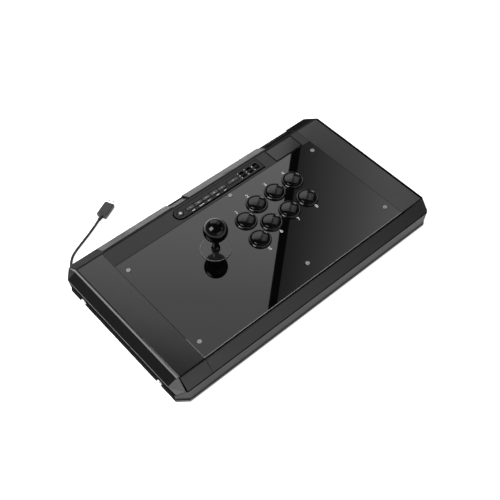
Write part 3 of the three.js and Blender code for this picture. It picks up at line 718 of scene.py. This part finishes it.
case = cad_copy("lower_case", 0.4, 2, case_edge)
piece("case_shell", [(case, CASE)], replaces="lower_case", pick=outer_side)
for side in ("left", "right"):
    shell = split_at(cad_copy(f"side_cap_{side}", 0.4, 2, shell_edge), [SHELL_WAIST_Z], 2)
    piece(f"side_shell_{side}", [(shell, MATTE)],
          replaces=f"side_cap_{side}", sharp=12, pick=shell_finish)
fascia = split_at(cad_copy("front_rail", 0.3, 2, rail_edge), [RAIL_WAIST_Z], 2)
piece("front_fascia", [(fascia, DARK)], replaces="front_rail", pick=waist_line)
fascia = split_at(split_at(cad_copy("back_rail", 0.35, 2, rail_edge), BACK_SPAN), [CREST_Z], 2)
piece("back_fascia", [(fascia, BACK_SHADED)], replaces="back_rail", pick=back_ends)
piece("bay_door", [(cad_copy("cable_door", 0.35, 2), BACK_SHADED)],
      body="door", replaces="cable_door")

# ---------------- bottom


def machine_screw(x, y, z, head_r=3.3, height=1.0, socket=1.3, sink=0.8):
    """A low round head with a six-sided socket, standing up from z."""
    outer = soft([(head_r, z), (head_r, z + height * 0.62), (head_r * 0.8, z + height)], 0.35, 3)
    top = z + height
    rim = [(socket * 1.28, top), (socket, top - 0.12), (socket, top - sink), (0, top - sink)]
    profile = [(0, z), *outer, *rim]
    return lathe(profile, (x, y), 48, shape=hexagonal(len(profile) - 3))


def foot_mesh(x, y):
    profile = [(0, 0.5), (3.6, 0.5), (4, 0), (10, 0), (11, 0.8), (11, 3), (0, 3)]
    return lathe(soft(profile, 0.4, 3), (x, y), 64)


slots = []
for x in (-60, -20, 20, 60):
    for y in (-60, -50):
        slots.append(rectangle(x - 14, x + 14, y - 2, y + 2, 1.9, 5))
# The base's corners are cut off: how far along it, and how deep at the front and at the back.
CUT_ALONG, CUT_FRONT, CUT_BACK = 14, 11, 17
cut_x = BASE.right - CUT_ALONG
right_end = [(cut_x, BASE.front), (BASE.right, BASE.front + CUT_FRONT), (BASE.right, BASE.back - CUT_BACK),
             (cut_x, BASE.back)]
plan = right_end + [(-x, y) for x, y in reversed(right_end)]
piece("base_plate", [(plate(plan, slots, BASE.low, BASE.high, 0.2), BAND)],
      replaces="bottom_plate")
for place in ("front_left", "front_right", "back_left", "back_right"):
    foot = foot_mesh(*middle(f"foot_{place}"))
    piece(f"rubber_foot_{place}", [(foot, RUBBER)], replaces=f"foot_{place}")
BASE_SCREWS = [(x, y) for x in (-222, 222) for y in (-60, 60)]
BASE_SCREWS += [(x, y) for y in (-118, 118) for x in (-110, 110)]
for i, (x, y) in enumerate(BASE_SCREWS, 1):
    screw = machine_screw(0, 0, 0, 2.9, 1.1, 1.2)
    place = Matrix.Translation((x * MM, y * MM, (BASE.low + 0.05) * MM))
    screw.transform(place @ Matrix.Rotation(math.pi, 4, "X"))
    piece(f"base_screw_{i}", [(screw, STEEL)])

# ---------------- top

# SEAM is left between the cover and each side shell. The holes are given by their radii.
SEAM = 0.25
LEVER_HOLE, BUTTON_HOLE, SCREW_HOLE = 13, 15.1, 1.9
COVER_X = extent("side_cap_right").left - SEAM
holes = [circle(*LEVER, LEVER_HOLE)] + [circle(x, y, BUTTON_HOLE) for x, y in BUTTONS]
screw_holes = [circle(x, y, SCREW_HOLE, 24) for x, y in SCREWS]
cover_outline = rectangle(-COVER_X, COVER_X, COVER.front, COVER.back)
sheet = plate(cover_outline, holes + screw_holes, COVER.low, TOP_Z, 0.3)
piece("cover_sheet", [(split_at(sheet, [COVER_HIGHLIGHT_Y], 1), SHEET)],
      replaces="clear_cover", sharp=15, pick=front_edge)


def strip_outline(clearance):
    """The strip's plan, grown by clearance: square at its right end and round at its left."""
    radius = (STRIP.back - STRIP.front) / 2
    x, y = STRIP.left + radius, STRIP.front + radius
    right, front, back = STRIP.right + clearance, STRIP.front - clearance, STRIP.back + clearance
    out = [(x, front), (right, front), (right, back), (x, back)]
    for k in range(1, 24):
        angle = math.pi / 2 + math.pi * k / 24
        out.append((x + (radius + clearance) * math.cos(angle), y + (radius + clearance) * math.sin(angle)))
    return out


# The raised band behind the cover is open round the strip and the touchpad. The groove round the touchpad
# is widest where it is seen, in front and on the left. A plate in the painted shadow colour closes both from
# below.
BAND_FRONT = COVER.back + 0.3
pad_hole = rectangle(PAD.left - 1.9, PAD.right + 0.8, PAD.front - 1.9, PAD.back + 0.2, 0.8, 3)
band_outline = rectangle(-COVER_X, COVER_X, BAND_FRONT, PLATE.back)
under_cover = rectangle(-COVER_X, COVER_X, PLATE.front, BAND_FRONT)
band_parts = [
    (plate(band_outline, [strip_outline(1.4), pad_hole], PAD_FLOOR, TOP_Z, 0.25), BAND),
    (plate(band_outline, [strip_outline(0.4)], PLATE.low, PAD_FLOOR, 0.1), SHADOW),
    (plate(under_cover, holes + screw_holes, PLATE.low, COVER.low - 0.3, 0.1), BAND),
]
piece("face_panel", band_parts, replaces="face_plate", sharp=15)
for i, (x, y) in enumerate(SCREWS, 1):
    parts = [(machine_screw(x, y, TOP_Z + 0.25, socket=1.2, sink=0.3), SCREW)]
    parts.append((lathe([(0, 34), (1.5, 34), (1.5, TOP_Z + 0.3), (0, TOP_Z + 0.3)], (x, y), 24), STEEL))
    piece(f"cover_screw_{i}", parts, replaces=f"panel_screw_{i}")

# ---------------- strip of small controls

key_pocket = rectangle(KEYS_LEFT, KEYS_LEFT + 5 * KEY_PITCH, KEY_FRONT, KEY_BACK, 0.5, 3)
mute_pocket = rectangle(MUTE_LEFT, MUTE_RIGHT, KEY_FRONT, KEY_BACK, 0.5, 3)
switch_pockets = [rectangle(x - 3.5, x + 3.5, y - 5.5, y + 5.5, 0.5, 3) for x, y in SWITCHES]
home_pocket = circle(*HOME, HOME_RADIUS + 0.7)
pockets = [home_pocket, key_pocket, mute_pocket, *switch_pockets]
strip_parts = [
    (plate(strip_outline(0), pockets, STRIP_FLOOR, STRIP.high, 0.35), STRIP_TOP),
    # The pockets' floor is a plate in the painted shadow colour.
    (plate(strip_outline(0), [], STRIP.low, STRIP_FLOOR, 0.1), SHADOW),
]


def pocket_walls(face):
    """Upright walls are dark, since little light gets between them."""
    return SHADOW if abs(face.normal.z) < 0.5 else None


piece("control_strip", strip_parts, replaces="control_pod", sharp=15, pick=pocket_walls)

# The caps of the small keys reach from CAP_LOW to CAP_HIGH, clear of their pockets by KEY_SIDE and KEY_END.
CAP_LOW, CAP_HIGH, HOME_HIGH = FIRST_KEY.low, FIRST_KEY.high, 49
KEY_SIDE, KEY_END = 0.6, 0.75
home = soft([(HOME_RADIUS, CAP_LOW), (HOME_RADIUS, HOME_HIGH - 0.4), (HOME_RADIUS - 0.5, HOME_HIGH)], 0.3, 3)
dished = [(2.9, HOME_HIGH), (2.7, HOME_HIGH - 0.25), (0, HOME_HIGH - 0.25)]
dot_low, dot_high = HOME_HIGH - 0.3, HOME_HIGH - 0.18
dot = [(0, dot_low), (1.8, dot_low), (1.8, dot_high), (0, dot_high)]
piece("home_cap", [(lathe([(0, CAP_LOW), *home, *dished], HOME), GLOSS), (lathe(dot, HOME, 24), INK)],
      body="home_button", replaces="home_button")


def key_with_mark(left, right, mark):
    """A small key for the pocket from left to right, with one generic mark on it."""
    x, y = (left + right) / 2, (KEY_FRONT + KEY_BACK) / 2
    width, depth = right - left - 2 * KEY_SIDE, KEY_BACK - KEY_FRONT - 2 * KEY_END
    parts = [(centred_block(x, y, width, depth, CAP_LOW, CAP_HIGH, 0.5, 3), KEY)]
    for dx, dy, width, depth in mark:
        bar = centred_block(x + dx, y + dy, width, depth, CAP_HIGH - 0.04, CAP_HIGH + 0.04, 0.02)
        parts.append((bar, INK))
    return parts


# Each key's mark as bars: x and y from the key's middle, width and depth.
MARKS = [
    [(0, 0, 2.6, 0.5)],
    [(0, 0.9, 2.6, 0.4), (0, 0, 2.6, 0.4), (0, -0.9, 2.6, 0.4)],
    [(-0.8, 0, 0.5, 2), (0.8, 0, 0.5, 2)],
    [(0, 0, 2.4, 0.5), (0, 0, 0.5, 2.4)],
    [(0, 0, 1.2, 1.2)],
]
for i, mark in enumerate(MARKS, 1):
    left = KEYS_LEFT + (i - 1) * KEY_PITCH
    piece(f"key_cap_{i}", key_with_mark(left, left + KEY_PITCH, mark),
          body=f"function_key_{i}", replaces=f"function_key_{i}")
piece("mute_cap", key_with_mark(MUTE_LEFT, MUTE_RIGHT, [(0, 0, 4, 0.5)]),
      body="mute_key", replaces="mute_key")
for i, (x, y) in enumerate(SWITCHES, 1):
    parts = [
        (centred_block(x, y, 6.2, 5.4, 44.3, 46.2, 0.2, 2), KNOB),
        (centred_block(x, y, 4.2, 3.8, 46, 47.9, 0.3, 2), KNOB),
    ]
    for dy in (-1.1, 0, 1.1):
        parts.append((centred_block(x, y + dy, 3.6, 0.5, 47.8, 48, 0.05), KNOB))
    piece(f"switch_knob_{i}", parts,
          body=f"slide_switch_{i}", replaces=f"slide_switch_{i}")
pad_outline = rectangle(PAD.left, PAD.right, PAD.front, PAD.back, 1, 4)
piece("pad_surface", [(plate(pad_outline, [], PAD.low, PAD.high, 0.25), PAD_FACE)],
      body="touchpad", replaces="touchpad", sharp=15, pick=pocket_walls)

# ---------------- lever

LEVER_LOW = 8.4
SHAFT_HIGH = BALL_Z - 4.3
WASHER_RADIUS = 22.5


def lever_profile():
    """The lever from its tip up: actuator, pivot ball, shaft with its collar, and the end inside the ball."""
    shaft = SHAFT_RADIUS
    actuator = [(3, LEVER_LOW), (3.2, 9), (5.3, 9), (5.3, 18), (3.4, 19.5), (3.4, 28.2)]
    pivot = [(6.6, 30.6), (8.2, 34), (8.4, PIVOT_Z), (8.2, 38)]
    collar = [(shaft, 38.3), (shaft, 50.3), (6.5, 50.3), (6.5, 51.6), (5.4, 54), (shaft, 56)]
    return soft([*actuator, *pivot, *collar, (shaft, SHAFT_HIGH)], 0.9, 3)


def ball_mesh():
    """The ball with the socket for the shaft in its underside."""
    socket = SHAFT_RADIUS + 0.3
    start = math.asin(-math.sqrt(BALL_RADIUS ** 2 - (socket + 0.5) ** 2) / BALL_RADIUS)
    profile = []
    for i in range(49):
        angle = start + (math.pi / 2 - start) * i / 48
        profile.append((BALL_RADIUS * math.cos(angle), BALL_Z + BALL_RADIUS * math.sin(angle)))
    profile[-1] = (0, BALL_Z + BALL_RADIUS)
    low = profile[0][1]
    inner = [(0, BALL_Z - 4), (socket, BALL_Z - 4), (socket, low + 0.4), (socket + 0.15, low + 0.05)]
    return lathe(inner + profile, LEVER, 96)


def washer_mesh(outer, hole, z0, z1):
    outline = soft([(hole, z0), (outer, z0), (outer, z1), (hole, z1)], 0.45, 4, closed=True)
    return lathe(outline, LEVER, 96, ring=True)


def washer_edge(face):
    """The outer rim of the dust washer gets a painted highlight, a light line."""
    centre = face.calc_center_median() / MM
    return EDGE_HIGHLIGHT if math.hypot(centre.x - LEVER[0], centre.y - LEVER[1]) > WASHER_RADIUS - 0.4 else None


piece("lever_stem", [(lathe([(0, LEVER_LOW), *lever_profile(), (0, SHAFT_HIGH)], LEVER), GLOSS)],
      body="lever", replaces="lever_shaft", sharp=50)
piece("lever_ball", [(ball_mesh(), BALL)],
      body="lever", replaces="ball_top", sharp=60)
piece("washer_disc", [(washer_mesh(WASHER_RADIUS, 5.7, TOP_Z + 0.3, TOP_Z + 1.7), CLEAR)],
      body="washer", replaces="dust_washer", sharp=60, pick=washer_edge)
piece("lower_washer_disc", [(washer_mesh(17, 6.4, 40.5, 41.2), CLEAR)],
      body="washer_carrier", replaces="lower_dust_washer", sharp=60)

# ---------------- push buttons

HOUSING_LOW, HOUSING_FLOOR, PLUNGER_LOW, PLUNGER_HIGH = 27.5, 29.5, 33.2, 53
RIM_PROFILE = [(14.3, HOUSING_LOW), (14.3, 47.3), (16.7, 47.3), (16.7, 48.3), (16.2, 49.2), (15.2, 49.85),
               (14.3, 49.7), (13.2, 48.6), (13.2, HOUSING_FLOOR)]
CAP_PROFILE = [(4, PLUNGER_LOW), (4, 38), (12.8, 38), (12.8, 50.3), (11.9, 51.2), (8, 52.2), (4, 52.8)]
for i, place in enumerate(BUTTONS, 1):
    rim = lathe([(0, HOUSING_LOW), *soft(RIM_PROFILE, 0.6, 4), (0, HOUSING_FLOOR)], place, 72)
    crown = [(2, PLUNGER_HIGH - 0.05), (0, PLUNGER_HIGH)]
    cap = lathe([(0, PLUNGER_LOW), *soft(CAP_PROFILE, 1.6, 4), *crown], place, 72)
    piece(f"button_rim_{i}", [(rim, RIM)], replaces=f"button_housing_{i}", sharp=50)
    piece(f"button_cap_{i}", [(cap, CAP)], body=f"button_plunger_{i}", replaces=f"button_plunger_{i}",
          sharp=50)

# ---------------- inner pieces


def spring_mesh():
    """A wound compression spring with closed ends."""
    turns, radius, wire = 5.5, 10, 0.55
    low, high = 22 + wire, 29.2 - wire
    points = []
    steps = int(turns * 24)
    for k in range(steps + 1):
        t = k / steps
        rise = smooth_step((t - 0.08) / 0.84) * 0.3 + 0.7 * min(1, max(0, (t - 0.12) / 0.76))
        angle = t * turns * TAU
        points.append(Vector((LEVER[0] + radius * math.cos(angle), LEVER[1] + radius * math.sin(angle),
                              low + (high - low) * rise)))
    return sleeve(points, [wire] * len(points), 8)


def lever_board_parts():
    """The lever's board: four micro-switches with hinged levers and three pins each."""
    x, y = LEVER
    board = plate(rectangle(x - 28, x + 28, y - 28, y + 28, 1.5), [circle(x, y, 13)], 18, 19.7, 0.1)
    parts = [(board, BOARD)]
    for quarter in range(4):
        turn = Matrix.Translation((x * MM, y * MM, 0)) @ Matrix.Rotation(quarter * math.pi / 2, 4, "Z")
        body = [(rounded_block(14.2, 20, -9.9, 9.9, 12, 18.1, 0.3, 2), CHIP),
                (rounded_block(13.6, 13.9, -9, 7, 13.5, 17, 0.08, 1), STEEL),
                (rounded_block(13.7, 14.4, 3, 5, 14.4, 16.2, 0.2, 2), INNER)]
        for pin in (-7, 0, 7):
            body.append((rounded_block(16.6, 17.4, pin - 0.9, pin + 0.9, 19.6, 19.95, 0.1, 1), STEEL))
        parts += [(moved(mesh, turn), material) for mesh, material in body]
    return parts


def main_board_parts():
    """The main board: stand-offs, a square chip with legs, a crystal, connectors with pins, small parts."""
    box = extent("main_board")
    top = 13.6
    parts = [(plate(rectangle(box.left, box.right, box.front, box.back, 1.5), [], 12, top, 0.1), BOARD)]
    post = [(0, 5.2), (2.5, 5.2), (2.5, 12.1), (0, 12.1)]
    screw_head = [(0, 13.5), *soft([(2.2, 13.5), (2.2, 13.9)], 0.1), (0, 13.95)]
    for y in (box.front + 5, box.back - 5):
        for x in (box.left + 5, box.right - 5):
            parts.append((lathe(post, (x, y), 24), INNER))
            parts.append((lathe(screw_head, (x, y), 24), STEEL))
    chip_x, chip_y = 168, -48
    parts.append((centred_block(chip_x, chip_y, 13, 13, top + 0.1, 15, 0.2, 2), CHIP))
    for k in range(12):
        along = k - 5.5
        for out in (-7.1, 7.1):
            parts.append((centred_block(chip_x + out, chip_y + along, 1.4, 0.4, top, 14.1, 0.05), STEEL))
            parts.append((centred_block(chip_x + along, chip_y + out, 0.4, 1.4, top, 14.1, 0.05), STEEL))
    parts.append((rounded_block(183, 198, -40, -28, top, 17, 0.4, 2), STEEL))
    for x0, x1, y0, y1 in [(142, 149, -60, -30), (160, 190, -84, -78)]:
        parts.append((rounded_block(x0, x1, y0, y1, top, 18.6, 0.3, 2), INNER))
        along_x = x1 - x0 > y1 - y0
        for k in range(7):
            t = (k + 1) / 8
            x = x0 + (x1 - x0) * t if along_x else (x0 + x1) / 2
            y = (y0 + y1) / 2 if along_x else y0 + (y1 - y0) * t
            parts.append((centred_block(x, y, 0.8, 0.8, 18.5, 18.95, 0.05), STEEL))
    for k in range(14):
        x, y = 150 + (k * 37 % 50), -74 + (k * 23 % 60)
        if 158 < x < 178 and -58 < y < -38 or x > 180 and y > -44:
            continue
        parts.append((centred_block(x, y, 1.8, 1, top, 14.2, 0.1), CHIP))
    return parts


piece("return_spring_coil", [(spring_mesh(), STEEL)],
      body="lever_pitch", replaces="return_spring", sharp=60)
piece("switch_board_body", lever_board_parts(), replaces="switch_board")
piece("main_board_body", main_board_parts(), replaces="main_board")
for node, material in (("lever_mount_plate", STEEL), ("lever_housing", INNER), ("restrictor_gate", CLEAR)):
    piece(f"{node}_body", [(cad_copy(node, 0.25, 2), material)], replaces=node)

# ---------------- marks and bolts

DIGIT_SIZE, INK_DEPTH = 8.5, 0.015


def digit(text, x, y):
    """A printed digit on the cover."""
    data = bpy.data.curves.new("digit", "FONT")
    data.body = text
    data.size = DIGIT_SIZE * MM
    data.extrude = INK_DEPTH * MM
    data.offset = 0.15 * MM
    data.align_x = data.align_y = "CENTER"
    mesh = baked(data)
    mesh.transform(Matrix.Translation((x * MM, y * MM, (TOP_Z + INK_DEPTH) * MM)))
    return mesh


LABELS = [(4.7, 42.4), (37.7, 56), (73, 56.2), (109, 55.3),
          (-3.4, -38.3), (30.2, -25.7), (65.3, -25), (102, -24.5)]
piece("button_numbers", [(digit(str(i), x, y), INK) for i, (x, y) in enumerate(LABELS, 1)])

# The strip's printed bars: x, y, width and depth.
key_labels = ((-39.6, 5), (-24.3, 9), (-9.6, 6), (6.5, 4.5), (20.6, 5))
strip_marks = [(x, 86.2, width, 1.1) for x, width in key_labels]
strip_marks += [(x, y, 1.6, 1.2) for x in (55.7, 68.6) for y in (98.3, 92.7, 87.5)]
strip_marks += [(81.6, y, 1.6, 1.2) for y in (95.5, 88)]
bars = [centred_block(*mark, STRIP.high - 0.03, STRIP.high + 0.04, 0.03) for mark in strip_marks]
piece("strip_marks", [(bar, INK) for bar in bars])

BOLT_PROFILE = [(0, 0), *soft([(4.5, 0), (4.5, 1.8), (3.4, 3.2), (1.4, 3.6)], 0.5, 3), (0, 3.6)]
BOLT_X, BOLT_Z = 241, 12
for side, sign in (("left", -1), ("right", 1)):
    for name, y in (("back", 81), ("front", -87.8)):
        bolt = lathe(BOLT_PROFILE, segments=48)
        turn = Matrix.Rotation(sign * math.pi / 2, 4, "Y")
        bolt.transform(Matrix.Translation((sign * BOLT_X * MM, y * MM, BOLT_Z * MM)) @ turn)
        piece(f"side_bolt_{side}_{name}", [(bolt, BOLT)])

# ---------------- studio


def emitter(name, corners, levels, along):
    """A light card. levels are (place, strength) pairs along its first side (X) or its second (Y)."""
    mesh = bpy.data.meshes.new(name)
    mesh.from_pydata(corners, [], [(0, 1, 2, 3)])
    layer = mesh.uv_layers.new(name="across")
    for loop, uv in zip(layer.data, [(0, 0), (1, 0), (1, 1), (0, 1)]):
        loop.uv = uv
    material = bpy.data.materials.new(name)
    material.use_nodes = True
    nodes, links = material.node_tree.nodes, material.node_tree.links
    nodes.clear()
    out = nodes.new("ShaderNodeOutputMaterial")
    emission = nodes.new("ShaderNodeEmission")
    links.new(emission.outputs["Emission"], out.inputs["Surface"])
    uv = nodes.new("ShaderNodeUVMap")
    split = nodes.new("ShaderNodeSeparateXYZ")
    links.new(uv.outputs["UV"], split.inputs["Vector"])
    ramp = nodes.new("ShaderNodeValToRGB")
    top = max(strength for _, strength in levels)
    elements = ramp.color_ramp.elements
    while len(elements) < len(levels):
        elements.new(0.5)
    for element, (place, strength) in zip(elements, levels):
        element.position = place
        element.color = (*[strength / top] * 3, 1)
    links.new(split.outputs[along], ramp.inputs["Fac"])
    links.new(ramp.outputs["Color"], emission.inputs["Color"])
    emission.inputs["Strength"].default_value = top
    mesh.materials.append(material)
    card = add_object(name, mesh)
    card.visible_camera = False


# The two cards stand where the cover mirrors them for the camera: up and behind to the right.
# Places on them are (s, t) in metres from where the mirrored line of sight meets them.
AIM = Vector((0, 0, TOP_Z * MM))
MIRROR = Vector((0.42398, 0.44998, 0.78597))
ACROSS = MIRROR.cross(UP).normalized()
RISE = ACROSS.cross(MIRROR)
CARD_DISTANCE, SOFTBOX_DISTANCE = 1.7, 1.6
IN_FRONT = 0.01


def on_cards(places, nearer=0.0):
    """The corners of a card, brought nearer to the panel by the given distance."""
    centre = AIM + MIRROR * (CARD_DISTANCE - nearer)
    return [centre + ACROSS * s + RISE * t for s, t in places]


# The left card ends and the right one begins on two slanting lines. The gap is the dark band in the cover.
left_card = [(-1.3, -1.2), (0.226, -1.2), (0.042, 0.405), (-1.3, 0.405)]
left_levels = [(0, 1.6), (0.557, 2.35), (0.743, 2.05), (0.805, 1.8), (0.867, 1.52), (1, 1.36)]
right_card = [(0.188, -0.6), (0.8, -0.6), (0.8, 0.55), (0.052, 0.55)]
right_levels = [(0, 0.28), (0.045, 0.36), (0.13, 0.57), (0.273, 0.95), (0.41, 1.45), (0.51, 1.62),
                (0.56, 1.1), (1, 0.9)]
emitter("card_left", on_cards(left_card), left_levels, "Y")
emitter("card_right", on_cards(right_card), right_levels, "X")

# A brighter strip low on the right card lights the back of the right side shell.
low_strip = [(0.16, -0.6), (0.8, -0.6), (0.8, -0.345), (0.16, -0.345)]
emitter("card_low", on_cards(low_strip, IN_FRONT), [(0, 1.15), (1, 1.15)], "X")
# A black flag just in front of the left card darkens the front of the left side shell.
flag = [(-0.155, 0.404), (-1.3, 0.07), (-1.3, 0.45), (-0.155, 0.45)]
emitter("flag", on_cards(flag, IN_FRONT), [(0, 0.001), (1, 0.001)], "X")


def softbox(name, direction, width, height, strength, far_strength=None):
    """A card facing the panel from the given direction. far_strength is what it falls to at its right end."""
    out = Vector(direction).normalized()
    side = out.cross(UP).normalized()
    up = side.cross(out)
    centre = AIM + out * SOFTBOX_DISTANCE
    corners = []
    for a, b in ((-1, -1), (1, -1), (1, 1), (-1, 1)):
        corners.append(centre + side * (a * width / 2) + up * (b * height / 2))
    right = strength if far_strength is None else far_strength
    emitter(name, corners, [(0, right), (0.5, strength), (1, strength)], "X")


softbox("softbox_left", (-0.65, 0.19, 0.74), 0.75, 0.85, 12)
softbox("softbox_right", (0.576, -0.6, 0.56), 0.3, 0.45, 1.6)
softbox("softbox_front", (0.06, -0.95, 0.32), 1.9, 0.6, 1.7, 0.5)


FLOOR_HALF, FLOOR_SINK = 14, 0.0002


def make_floor():
    """A pale floor just under the feet, which also gives off light."""
    mesh = bpy.data.meshes.new("floor")
    mesh.from_pydata([(*corner, 0) for corner in rectangle(-FLOOR_HALF, FLOOR_HALF, -FLOOR_HALF, FLOOR_HALF)],
                     [], [(0, 1, 2, 3)])
    material = bpy.data.materials.new("floor")
    material.use_nodes = True
    bsdf = material.node_tree.nodes["Principled BSDF"]
    set_sockets(bsdf, {"Base Color": (0.8, 0.8, 0.8, 1), "Roughness": 0.9, "Specular IOR Level": 0.1})
    set_sockets(bsdf, {"Emission Color": (1, 1, 1, 1), "Emission Strength": 0.97})
    mesh.materials.append(material)
    floor = add_object("floor", mesh)
    floor.location.z = -FLOOR_SINK


def make_world():
    """White behind the object. As light it is pale round the horizon and dark overhead, so the cards
    do the work."""
    world = bpy.data.worlds.new("studio")
    world.use_nodes = True
    nodes, links = world.node_tree.nodes, world.node_tree.links
    split = nodes.new("ShaderNodeSeparateXYZ")
    links.new(nodes.new("ShaderNodeTexCoord").outputs["Generated"], split.inputs["Vector"])
    ramp = nodes.new("ShaderNodeMapRange")
    ramp.interpolation_type = "SMOOTHSTEP"
    set_sockets(ramp, {"From Min": 0.3, "From Max": 0.6, "To Min": 0.2, "To Max": 0.02})
    links.new(split.outputs["Z"], ramp.inputs["Value"])
    background = nodes["Background"]
    set_sockets(background, {"Color": (1, 1, 1, 1)})
    links.new(ramp.outputs["Result"], background.inputs["Strength"])
    backdrop = nodes.new("ShaderNodeBackground")
    set_sockets(backdrop, {"Color": (1, 1, 1, 1)})
    choose = nodes.new("ShaderNodeMixShader")
    links.new(nodes.new("ShaderNodeLightPath").outputs["Is Camera Ray"], choose.inputs["Fac"])
    links.new(background.outputs["Background"], choose.inputs[1])
    links.new(backdrop.outputs["Background"], choose.inputs[2])
    links.new(choose.outputs["Shader"], nodes["World Output"].inputs["Surface"])
    scene.world = world


make_floor()
make_world()
scene.view_settings.view_transform = "Standard"
